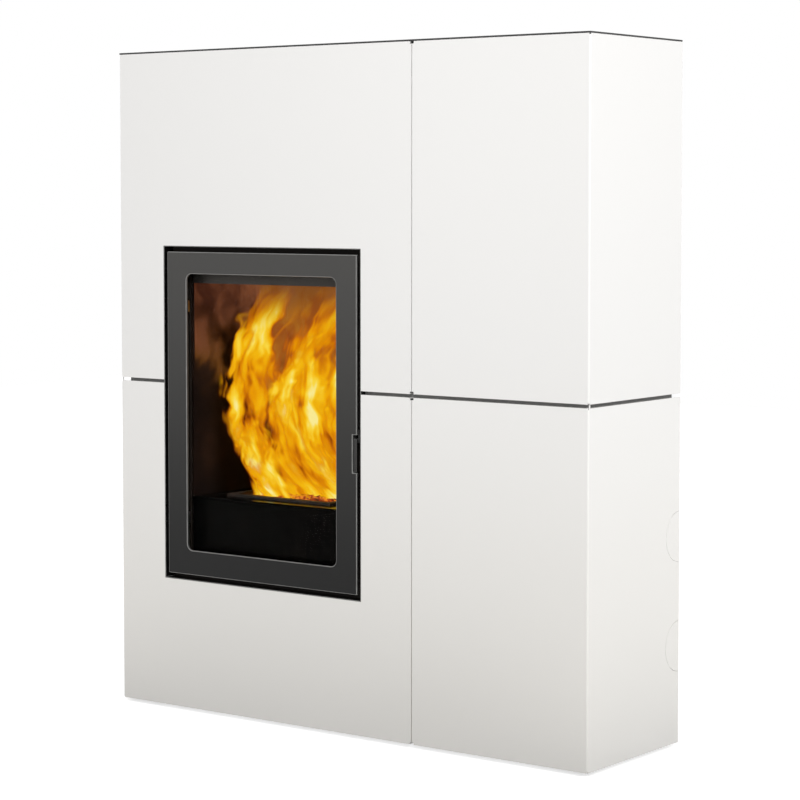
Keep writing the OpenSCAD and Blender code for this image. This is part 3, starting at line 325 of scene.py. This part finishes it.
# %% Metals
def galvanised():
    finish = Finish("galvanised", (0.55, 0.56, 0.57), 0.42, metallic=1.0)
    cells = finish.node("ShaderNodeTexVoronoi", {}, {"Vector": finish.place(), "Scale": 90.0}, out=1)
    grey = finish.node("ShaderNodeRGBToBW", {}, [cells])
    finish.set("Base Color", finish.blend(grey, (0.42, 0.43, 0.44), (0.6, 0.61, 0.62)))
    finish.set("Roughness", grey * 0.2 + 0.32)
    return finish.material


def turned_steel():
    finish = Finish("turned_steel", (0.6, 0.6, 0.6), 0.3, metallic=1.0)
    lines = finish.noise(0.002, 2.0, where=finish.stretched((1.0, 1.0, 12.0)))
    finish.set("Roughness", lines * 0.2 + 0.2)
    finish.set("Base Color", finish.blend(lines, (0.45, 0.45, 0.46), (0.68, 0.68, 0.67)))
    return finish.material


def frame_paint():
    finish = Finish("frame_paint", (0.17, 0.17, 0.17), 0.5)
    grain = finish.noise(0.0015, 2.0)
    finish.set("Base Color", finish.blend(grain, (0.14, 0.14, 0.137), (0.21, 0.21, 0.205)))
    finish.bump(grain, 0.00008)
    return finish.material


def cast_iron():
    finish = Finish("cast_iron", (0.05, 0.045, 0.04), 0.7, metallic=0.6)
    sand = finish.noise(0.003, 4.0)
    rust = finish.noise(0.03, 4.0).between(0.5, 0.75)
    finish.set("Base Color", finish.blend(rust, (0.035, 0.033, 0.032), (0.09, 0.05, 0.03)))
    finish.bump(sand, 0.0005)
    return finish.material


paint.update(zinc=galvanised(), steel=turned_steel(), frame=frame_paint(), iron=cast_iron())
print("finishes:", *paint)

# %% [markdown]
# ## Lining boards
# The lining boards are pressed flakes of mineral. The fire has browned them, most of all near the
# hearth, so the height of a point helps a cloudy noise to decide how dark it is.

# %% Lining board
def lining_board():
    finish = Finish("lining_board", (0.03, 0.016, 0.01), 0.95, specular_ior_level=0.1)
    flakes = finish.node("ShaderNodeTexVoronoi", {}, {"Vector": finish.place(), "Scale": 260.0}, out=1)
    grey = finish.node("ShaderNodeRGBToBW", {}, [flakes])
    scorch = finish.noise(0.12, 4.0) + (0.75 - finish.axis("Z")) * 0.3
    brown = finish.blend(grey, (0.022, 0.011, 0.007), (0.04, 0.021, 0.013))
    finish.set("Base Color", finish.blend(scorch.between(0.3, 0.62), brown, (0.008, 0.004, 0.003)))
    finish.bump(grey + finish.noise(0.004, 3.0), 0.0006)
    return finish.material


paint.update(board=lining_board())
print("finishes:", *paint)

# %% [markdown]
# ## Rubber, plastic and rope
# Rubber and moulded plastic are told by their fine sparkle, which is all noise and bump. The rope of the
# door seal is braided: diagonal bands in its own UV map run round it and stay even at the corners.

# %% Rubber, plastic and rope
def rubber():
    finish = Finish("rubber", (0.02, 0.02, 0.02), 0.8)
    finish.set("Roughness", finish.noise(0.004, 2.0) * 0.2 + 0.65)
    finish.bump(finish.noise(0.001, 2.0), 0.0001)
    return finish.material


def moulded_plastic():
    finish = Finish("moulded_plastic", (0.02, 0.02, 0.021), 0.5)
    spark = finish.noise(0.0006, 1.0)
    finish.set("Roughness", spark * 0.2 + 0.38)
    finish.bump(spark, 0.00004)
    return finish.material


def woven_rope():
    finish = Finish("woven_rope", (0.06, 0.06, 0.06), 0.9)
    way = finish.own_map()
    settings = {"wave_type": "BANDS", "bands_direction": "DIAGONAL"}
    braid = finish.node("ShaderNodeTexWave", settings, {"Vector": way, "Scale": 6.0, "Distortion": 1.0}, out=1)
    finish.set("Base Color", finish.blend(braid, (0.02, 0.02, 0.02), (0.11, 0.11, 0.105)))
    finish.bump(braid, 0.0012)
    return finish.material


paint.update(rubber=rubber(), plastic=moulded_plastic(), rope=woven_rope())
print("finishes:", *paint)

# %% [markdown]
# ## Window glass
# Fire glass is a clear ceramic with a slight smoky tint. Light goes straight through it, so a tinted
# transparent shader is mixed with a mirror one, and Fresnel decides how much of each is seen. Only the
# outer faces mirror, because Fresnel is far too strong on a face that is seen from inside the glass.

# %% Glass
def fire_glass():
    finish = Finish("fire_glass", (0.02, 0.02, 0.02), 0.02)
    clear = finish.node("ShaderNodeBsdfTransparent", {}, {"Color": (0.97, 0.95, 0.93, 1.0)})
    mirror = finish.node("ShaderNodeBsdfGlossy", {}, {"Color": (1.0, 1.0, 1.0, 1.0), "Roughness": 0.02})
    edge = finish.node("ShaderNodeFresnel", {}, {"IOR": 1.45})
    outside = 1 - finish.node("ShaderNodeNewGeometry", out="Backfacing")
    both = finish.node("ShaderNodeMixShader", {}, {0: edge * outside * 0.03, 1: clear, 2: mirror})
    finish.tree.links.new(both.socket, finish.output.inputs["Surface"])
    return finish.material


paint.update(glass=fire_glass())
print("finishes:", *paint)

# %% [markdown]
# ## Dressing the solids
# Each solid keeps its shape and only gets a finish. A dictionary from finish to names keeps the choice
# readable, and the print shows that no solid was forgotten.

# %% Finishes for the solids
FINISH_OF = {
    "enamel": ["upper_left_panel", "lower_left_panel", "upper_right_panel", "lower_right_panel"],
    "powder": ["top_plate", "hopper_lid", "rear_panel", "duct_recess", "airwash_strip"],
    "gloss": ["recess_trim"],
    "door": ["door_plate", "door_inner_frame", "latch_lever"],
    "hearth": ["hearth_plate", "ash_pan"],
    "soot": ["firebox", "baffle", "flue_collar", "air_inlet", "pellet_chute"],
    "zinc": ["base_plate", "firebox_stand", "hopper", "auger_tube", "partition",
             "convection_housing", "exhaust_housing", "top_frame", "post_front_left",
             "post_front_right", "post_rear_left", "post_rear_right"],
    "steel": ["auger_screw", "lid_hinge_brackets", "door_hinges", "latch_pin", "latch_keeper",
              "exhaust_impeller", "convection_rotor", "igniter", "rear_screws", "glass_clips"],
    "frame": ["auger_gearmotor", "exhaust_motor", "mid_rail"],
    "iron": ["burn_pot"],
    "board": ["fire_board_back", "fire_board_left", "fire_board_right"],
    "rubber": ["foot_front_left", "foot_front_right", "foot_rear_left", "foot_rear_right", "hopper_lid_seal"],
    "plastic": ["control_box", "mains_inlet", "rocker_switch"],
    "rope": ["door_seal", "glass_seal"],
    "glass": ["door_glass"],
}
dressed = set()
for name, solids in FINISH_OF.items():
    for solid in solids:
        for place in frame["nodes"][solid].material_slots:
            place.material = paint[name]
        dressed.add(solid)
print("not dressed yet:", sorted(set(frame["nodes"]) - dressed))

# %% [markdown]
# ## From a bmesh to a piece
# Every new piece goes through the same door: its bmesh becomes a mesh object at the origin, gets its
# finish, and rides on the body that carries it.

# %% Making a piece
def piece(bm, name, finish, body, smooth=True):
    mesh = bpy.data.meshes.new(name)
    bm.to_mesh(mesh)
    bm.free()
    for face in mesh.polygons:
        face.use_smooth = smooth
    made = bpy.data.objects.new(name, mesh)
    bpy.context.scene.collection.objects.link(made)
    mesh.materials.append(finish)
    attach(made, body)
    return made


def middle(node):
    """Middle and size of a node's box at rest."""
    a, b = (Vector(corner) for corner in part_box(node))
    return (a + b) / 2, b - a


print("the door glass is", *middle("door_glass")[1], "m")

# %% [markdown]
# ## Softened edges
# No real sheet or plate has a perfectly sharp edge: the thin round on it catches the lamps and draws the
# bright line that tells the eye where a part ends. A solid arrives as loose triangles, so a copy is
# merged, its flat areas are joined into single faces, and only its sharp edges are bevelled. The copy is
# then kept within the solid's own box, because a bevel can push a nearly flat corner out by microns.

# %% Softening a copy of a solid
FLAT, SHARP = 0.01, 0.6  # radians between two faces: joined below the first, bevelled above the second
BODY_OF = {}
for body, part in frame["record"]["behaviour"]["bodies"].items():
    BODY_OF.update((node, body) for node in part)


def softened(node, finish, width, edge=None):
    """A bevelled copy that stands for the node; edge is the finish of the bevels, where it has its own."""
    bm = bmesh.new()
    bm.from_mesh(frame["nodes"][node].data)
    bmesh.ops.remove_doubles(bm, verts=bm.verts, dist=1e-5)
    bmesh.ops.dissolve_limit(bm, angle_limit=FLAT, verts=bm.verts, edges=bm.edges)
    sharp = [e for e in bm.edges if len(e.link_faces) == 2 and e.calc_face_angle() > SHARP]
    soft = bmesh.ops.bevel(bm, geom=sharp, offset=width, segments=2, affect="EDGES", profile=0.5,
                           material=-1, clamp_overlap=True)
    for face in soft["faces"]:
        face.material_index = 1 if edge else 0
    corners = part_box(node)
    for v in bm.verts:
        v.co = [min(max(value, low), high) for value, low, high in zip(v.co, *corners)]
    made = piece(bm, node + "_softened", finish, BODY_OF[node], smooth=False)
    if edge:
        made.data.materials.append(edge)
    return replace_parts(made, node)


print("nodes on bodies", len(BODY_OF))

# %% [markdown]
# Sheet metal has rounds of about half a millimetre, the thick plate of the door a larger one. Each row
# names the solid, its finish, the width of the round and the finish of the round where it has its own, a painted
# highlight.

# %% Softened solids
# the "edge" finish paints a pale highlight onto the rounds of the door, its trim and its lever
for node, name, width, edge in [
        ("door_plate", "door", 0.0014, "edge"), ("recess_trim", "gloss", 0.0006, "edge"),
        ("latch_lever", "door", 0.0005, "edge"), ("top_plate", "powder", 0.0005, None),
        ("hopper_lid", "powder", 0.0008, None), ("upper_left_panel", "enamel", 0.0006, None),
        ("lower_left_panel", "enamel", 0.0006, None), ("upper_right_panel", "enamel", 0.0006, None),
        ("lower_right_panel", "enamel", 0.0006, None), ("mid_rail", "frame", 0.0004, None),
        ("rear_panel", "powder", 0.0004, None), ("duct_recess", "powder", 0.0005, None),
        ("flue_collar", "soot", 0.0006, None), ("air_inlet", "soot", 0.0006, None),
        ("mains_inlet", "plastic", 0.0007, None), ("rocker_switch", "plastic", 0.0006, None),
        ("foot_front_left", "rubber", 0.001, None), ("foot_front_right", "rubber", 0.001, None),
        ("foot_rear_left", "rubber", 0.001, None), ("foot_rear_right", "rubber", 0.001, None)]:
    made = softened(node, paint[name], width, paint.get(edge))
    print(made.name, len(made.data.polygons), "faces")

# %% [markdown]
# ## Seals
# The seals are woven rope and tape, and a rubber hollow strip under the hopper lid. Each is a closed loop
# with one small cross-section all the way round: a grid is wrapped round a rounded rectangle, and its UV
# map counts centimetres along the loop, so that the braid has the same size on every side.

# %% The path of a loop
CORNER_STEPS, ROUND_STEPS = 6, 16  # steps round a quarter corner, and round the loop's cross-section


def loop_path(half_a, half_b, corner):
    """Points round a rounded rectangle, each with the direction that points out of it."""
    path = []
    for turn in range(4):
        middle_a = (half_a - corner) * (1 if turn in (0, 3) else -1)
        middle_b = (half_b - corner) * (1 if turn in (0, 1) else -1)
        for step in range(CORNER_STEPS + 1):
            angle = math.radians(90 * turn + 90 * step / CORNER_STEPS)
            out = (math.cos(angle), math.sin(angle))
            path.append((middle_a + corner * out[0], middle_b + corner * out[1], *out))
    return path + path[:1]


print("points round a loop", len(loop_path(1.0, 1.0, 0.1)))

# %% [markdown]
# The door's loops stand upright and the lid's lies flat, so which axis is high and which is thin depends
# on the seal. The cross-section is a little squarer than a circle, as a rope in its channel is.

# %% A soft loop
def soft_loop(node, width, finish, lying=False):
    mid, size = middle(node)
    high = 1 if lying else 2
    thin = 3 - high
    path = loop_path(size[0] / 2 - width / 2, size[high] / 2 - width / 2, width * 0.75)
    run = [0.0]
    for here, there in zip(path, path[1:]):
        run.append(run[-1] + math.dist(here[:2], there[:2]))
    bm = bmesh.new()
    uv = bm.loops.layers.uv.new("UVMap")
    grid = bmesh.ops.create_grid(bm, x_segments=len(path) - 1, y_segments=ROUND_STEPS, size=0.5)["verts"]
    cell = {v: (round((v.co.x + 0.5) * (len(path) - 1)), round((v.co.y + 0.5) * ROUND_STEPS)) for v in grid}
    for face in bm.faces:
        for loop in face.loops:
            i, j = cell[loop.vert]
            loop[uv].uv = (run[i] * 100, j / ROUND_STEPS)
    for v, (i, j) in cell.items():
        a, b, out_a, out_b = path[i]
        angle = 2 * math.pi * j / ROUND_STEPS
        side, up = math.cos(angle), math.sin(angle)
        spot = [0.0, 0.0, 0.0]
        spot[0] = mid[0] + a + out_a * side * width / 2
        spot[high] = mid[high] + b + out_b * side * width / 2
        spot[thin] = mid[thin] + math.copysign(abs(up) ** 0.7, up) * size[thin] / 2
        v.co = spot
    bmesh.ops.remove_doubles(bm, verts=bm.verts, dist=1e-6)
    bmesh.ops.recalc_face_normals(bm, faces=bm.faces)
    made = piece(bm, node + "_loop", finish, BODY_OF[node])
    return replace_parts(made, node)


for node, width, finish, lying in [("door_seal", 0.0098, paint["rope"], False),
                                   ("glass_seal", 0.008, paint["rope"], False),
                                   ("hopper_lid_seal", 0.008, paint["rubber"], True)]:
    made = soft_loop(node, width, finish, lying)
    print(made.name, len(made.data.polygons), "faces")

# %% [markdown]
# ## Fire
# Flames are thin sheets of glowing gas that fold over each other. A volume would be slow and grainy, so
# three curtains stand over the burn pot, each a grid that sways along its height. The pattern follows the
# draught: a line of flow starts at the foot, leans to the left and comes back at the top. Noise that is
# drawn out along these lines makes the tongues, and a ramp turns its heat into red, orange and yellow.

# %% Flame finish
FLAME_STOPS = [
    (0.0, (0.14, 0.015, 0.004)), (0.2, (0.36, 0.045, 0.004)), (0.38, (0.62, 0.16, 0.002)),
    (0.56, (0.84, 0.34, 0.002)), (0.74, (0.95, 0.53, 0.006)), (0.89, (1.0, 0.74, 0.06)), (1.0, (1.0, 0.9, 0.33))]


def glowing_gas(name):
    """A black surface that only shines, to be given its colour and its alpha."""
    return Finish(name, (0.0, 0.0, 0.0), 1.0, specular_ior_level=0.0, emission_strength=1.0)


def flame_light(name, shift, heat, thin, foot):
    """Tongues of flame: heat is their glow at the foot, thin the glow below which they are clear, and
    foot the share of the curtain's width where their left edge starts."""
    finish = glowing_gas(name)
    way = finish.own_map()
    across, along = finish.axis("X", way), finish.axis("Y", way)
    half = along - 0.5
    line = across + (across * 0.3 + 0.15) * (1 - half * half * 4)
    flow = finish.node("ShaderNodeCombineXYZ", {}, [line * 0.25, along * 0.4, shift])
    tongue = finish.noise(0.07, 1.5, where=finish.drifting(0.1, 0.09, (1.0, 0.36, 1.0), (0, 0, 0), flow))
    thread = finish.noise(0.022, 2.0, where=finish.drifting(0.08, 0.07, (1.0, 0.16, 1.0), (0, 0, 0), flow))
    edge = (line + (tongue - 0.5) * 0.5 + (thread - 0.5) * 0.2).between(foot, foot + 0.16)
    glow = heat - along * 0.4 + (tongue - 0.5) * 2.3 + (thread - 0.5) * 1.2 - (1 - edge) * 0.6
    finish.set("Emission Color", finish.node("ShaderNodeValToRGB", {"stops": FLAME_STOPS}, [glow]))
    ends = across.between(0.0, 0.05) * (1 - across.between(0.95, 1.0)) * (1 - along.between(0.75, 1.0))
    finish.set("Alpha", glow.between(thin, thin + 0.4) * ends * edge)
    return finish.material


print("steps of heat", len(FLAME_STOPS))

# %% [markdown]
# Behind the flames the walls of the chamber seem to glow through a haze of hot gas. Two more sheets hug
# the back and the left wall: warm orange below, brown at the top, and clear near the foot.

# %% Haze finish
def smoke_light(name, dark, start):
    """Haze in front of a wall: dark browns it, and start is how high up it begins."""
    finish = glowing_gas(name)
    along = finish.axis("Y", finish.own_map())
    roll = finish.noise(0.07, 3.0, where=finish.drifting(0.12, 0.1, (1.0, 1.0, 0.8), (0.3, 0.1, 0.0)))
    warm = finish.blend(roll.between(0.35, 0.65), (0.36, 0.1, 0.015), (0.66, 0.27, 0.02))
    brown = finish.blend(roll.between(0.35, 0.65), (0.07, 0.02, 0.01), (0.2, 0.07, 0.03))
    high = along * 0.8 + (roll - 0.5) * 0.6 + dark
    finish.set("Emission Color", finish.blend(high.between(0.5, 0.9), warm, brown))
    rise = along + (roll - 0.5) * 1.1
    finish.set("Alpha", rise.between(start, start + 0.5) * 0.88)
    return finish.material


print("haze finish ready")

# %% [markdown]
# The pot holds a low heap of glowing pellets. A grid pushed into a mound closes the heap, and short
# seven-sided rods lie on it at random, because at this size more faces wouldn't be seen.

# %% Ember bed
EMBER_STOPS = [(0.3, (0.01, 0.002, 0.001)), (0.45, (0.35, 0.04, 0.004)), (0.6, (0.9, 0.3, 0.02)),
               (0.8, (1.0, 0.65, 0.12))]
PELLET_RADIUS, RIM_GAP = 0.003, 0.008
FILL, HEAP = 0.014, 0.011  # how far the bed's edge lies below the rim, and how high its middle is heaped
pot_mid, pot_size = middle("burn_pot")


def ember_glow():
    finish = Finish("ember_glow", (0.03, 0.025, 0.02), 0.95, specular_ior_level=0.1, emission_strength=1.0)
    hot = finish.noise(0.006, 3.0) * 0.7 + finish.noise(0.03, 2.0) * 0.6 - 0.15
    finish.set("Emission Color", finish.node("ShaderNodeValToRGB", {"stops": EMBER_STOPS}, [hot]))
    finish.bump(finish.noise(0.002, 3.0), 0.0006)
    return finish.material


def ember_bed(count, seed):
    rng = random.Random(seed)
    half_x, half_y = pot_size.x / 2 - RIM_GAP, pot_size.y / 2 - RIM_GAP
    edge = pot_mid.z + pot_size.z / 2 - FILL

    def mound(x, y):
        return edge + HEAP * (1 - (x / half_x) ** 2) * (1 - (y / half_y) ** 2)

    bm = bmesh.new()
    for v in bmesh.ops.create_grid(bm, x_segments=36, y_segments=14, size=0.5)["verts"]:
        x, y = v.co.x * 2 * half_x, v.co.y * 2 * half_y
        v.co = (pot_mid.x + x, pot_mid.y + y, mound(x, y) + rng.uniform(-0.001, 0.001))
    for _ in range(count):
        x, y = rng.uniform(-0.93, 0.93) * half_x, rng.uniform(-0.85, 0.85) * half_y
        turn = Matrix.Rotation(rng.uniform(0, math.pi), 4, "Z") @ Matrix.Rotation(rng.uniform(1.2, 1.9), 4, "X")
        spot = Matrix.Translation((pot_mid.x + x, pot_mid.y + y, mound(x, y) + rng.uniform(0.0005, 0.003)))
        bmesh.ops.create_cone(bm, cap_ends=True, segments=7, radius1=PELLET_RADIUS, radius2=PELLET_RADIUS,
                              depth=rng.uniform(0.007, 0.014), matrix=spot @ turn)
    made = piece(bm, "embers", ember_glow(), "burn_pot", smooth=False)
    return made


embers = ember_bed(190, 5)
print("burn pot at", tuple(pot_mid), "ember faces", len(embers.data.polygons))

# %% [markdown]
# A curtain is set out by the two points where its foot starts and ends, seen from above. The three flames
# stand one behind the other, slantwise in the chamber and nearly square to the camera's line of sight. The
# pot lifts out for cleaning, and the flames can't rise through the baffle: each flame gets a mesh of its own,
# and the share of its height that would stay as the pot comes up is worked out but not used.

# %% Curtains of flame
POT_LIFT = next(joint["range_m"][1] for joint in frame["joints"] if joint["name"] == "burn_pot_lift")


def curtain(name, start, end, low, high, finish, sway, seed):
    phase = random.Random(seed).uniform(0, 6.28)
    start, run = Vector(start), Vector(end) - Vector(start)
    out = Vector((run.y, -run.x)).normalized()
    bm = bmesh.new()
    bm.loops.layers.uv.new("UVMap")
    for v in bmesh.ops.create_grid(bm, x_segments=28, y_segments=40, size=0.5, calc_uvs=True)["verts"]:
        u, t = v.co.x + 0.5, v.co.y + 0.5
        spot = start + run * u + out * sway * math.sin(5.0 * u + 4.0 * t + phase) * (0.3 + 0.7 * t)
        v.co = (spot.x, spot.y, low + (high - low) * t)
    made = piece(bm, name, finish, "stove")
    if name.startswith("flame"):
        keep = 1 - POT_LIFT / (high - low)
        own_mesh(made)
    return made


print("the pot lifts by", POT_LIFT, "m")

# %% [markdown]
# The haze reaches up to the baffle, and each flame in front of another ends lower, so that its tips show.
# A row of a flame holds how much shorter than the haze it is and the four numbers of its finish.

# %% The fire
fire_low, fire_high = pot_mid.z + pot_size.z / 2 - 0.003, 0.776
for name, start, end, dark, rise in [("haze_left", (-0.3485, -0.112), (-0.341, 0.0585), 0.22, 0.5),
                                     ("haze_back", (-0.3475, 0.057), (-0.012, 0.057), 0.0, 0.12)]:
    curtain(name, start, end, fire_low, fire_high, smoke_light(name, dark, rise), 0.001, 1)
for name, start, end, short, light, seed in [
        ("flame_back", (-0.327, -0.086), (-0.136, 0.05), 0.006, (0.0, 0.72, 0.1, 0.24), 2),
        ("flame_middle", (-0.303, -0.104), (-0.093, 0.046), 0.03, (0.31, 0.66, 0.25, 0.18), 3),
        ("flame_front", (-0.248, -0.099), (-0.062, 0.034), 0.1, (0.73, 0.58, 0.42, 0.1), 4)]:
    curtain(name, start, end, fire_low, fire_high - short, flame_light(name, *light), 0.006, seed)
print("flames from", fire_low, "to", fire_high)

# %% [markdown]
# ## Studio
# The stove stands on a pale floor before a white backdrop. The camera and the mirrors of gloss surfaces
# see both as white, and the floor keeps the soft shadow of the stove. For the light that it throws back
# up, the floor is dark near the stove, like a mat, so that the casing falls off towards its foot.

# %% Floor
def studio_floor():
    finish = Finish("studio_floor", (0.7, 0.69, 0.67), 0.9)
    oval = finish.stretched((0.8, 1.2, 1.0))
    reach = finish.node("ShaderNodeVectorMath", {"operation": "LENGTH"}, [oval], out=1)
    mat, bright = (0.03, 0.026, 0.02), (0.76, 0.745, 0.72)
    finish.set("Base Color", finish.blend(reach.between(0.44, 0.78), mat, bright))
    seen = finish.node("ShaderNodeLightPath")
    gloss = finish.node("ShaderNodeLightPath", out="Is Glossy Ray")
    through = finish.node("ShaderNodeLightPath", out="Is Transmission Ray")
    pale = finish.node("ShaderNodeBsdfDiffuse", {}, {"Color": (0.8, 0.8, 0.8, 1.0)})
    glow = finish.node("ShaderNodeEmission", {}, {"Color": (1.0, 1.0, 1.0, 1.0), "Strength": 0.62})
    white = finish.node("ShaderNodeAddShader", {}, [pale, glow])
    base = Field(finish, finish.shader.outputs[0])
    direct = seen.math("MAXIMUM", gloss).math("MAXIMUM", through)
    mixed = finish.node("ShaderNodeMixShader", {}, {0: direct, 1: base, 2: white})
    finish.tree.links.new(mixed.socket, finish.output.inputs["Surface"])
    return finish.material


bm = bmesh.new()
bmesh.ops.create_grid(bm, x_segments=2, y_segments=2, size=6.0)
mesh = bpy.data.meshes.new("floor")
bm.to_mesh(mesh)
bm.free()
mesh.materials.append(studio_floor())
floor = bpy.data.objects.new("floor", mesh)
bpy.context.scene.collection.objects.link(floor)
print("floor", tuple(floor.dimensions))

# %% [markdown]
# The backdrop is the world itself. It lights the stove evenly from all sides at a strength of 0.66, and
# the camera, the gloss and the glass see it at a strength of 1, as pure white.

# %% Backdrop
SURROUND = 0.66
world = bpy.data.worlds.new("studio")
bpy.context.scene.world = world
world.use_nodes = True
sky = world.node_tree
rays = sky.nodes.new("ShaderNodeLightPath")
direct = rays.outputs["Is Camera Ray"]
for kind in ("Is Glossy Ray", "Is Transmission Ray"):
    either = sky.nodes.new("ShaderNodeMath")
    either.operation = "MAXIMUM"
    sky.links.new(direct, either.inputs[0])
    sky.links.new(rays.outputs[kind], either.inputs[1])
    direct = either.outputs[0]
level = sky.nodes.new("ShaderNodeMapRange")
level.inputs[3].default_value, level.inputs[4].default_value = SURROUND, 1.0
sky.links.new(direct, level.inputs[0])
sky.nodes["Background"].inputs[0].default_value = (1.0, 1.0, 1.0, 1.0)
sky.links.new(level.outputs[0], sky.nodes["Background"].inputs[1])
print("surround", SURROUND)

# %% [markdown]
# ## Soft lights
# Most of the light is the even white surround. One large softbox high at the front right makes the front
# a little brighter towards its right end, and a weaker one beside it lifts the side, the brightest face.
# Both are kept narrow and aimed at the upper half, so their light fades towards the floor.

# %% Lamps
def softbox(name, place, aim, size, watts, spread):
    lamp = bpy.data.lights.new(name, "AREA")
    lamp.shape, lamp.size, lamp.energy = "SQUARE", size, watts
    lamp.spread = math.radians(spread)
    made = bpy.data.objects.new(name, lamp)
    bpy.context.scene.collection.objects.link(made)
    made.location = place
    made.rotation_euler = (Vector(aim) - Vector(place)).to_track_quat("-Z", "Y").to_euler()
    return made


for name, place, aim, size, watts in [("key", (2.3, -3.6, 2.9), (0.2, 0, 1.3), 1.8, 12),
                                      ("side", (4.2, -0.5, 2.7), (0.5, 0, 1.1), 1.6, 6.6)]:
    lamp = softbox(name, place, aim, size, watts, spread=60)
    print(lamp.name, watts, "W")
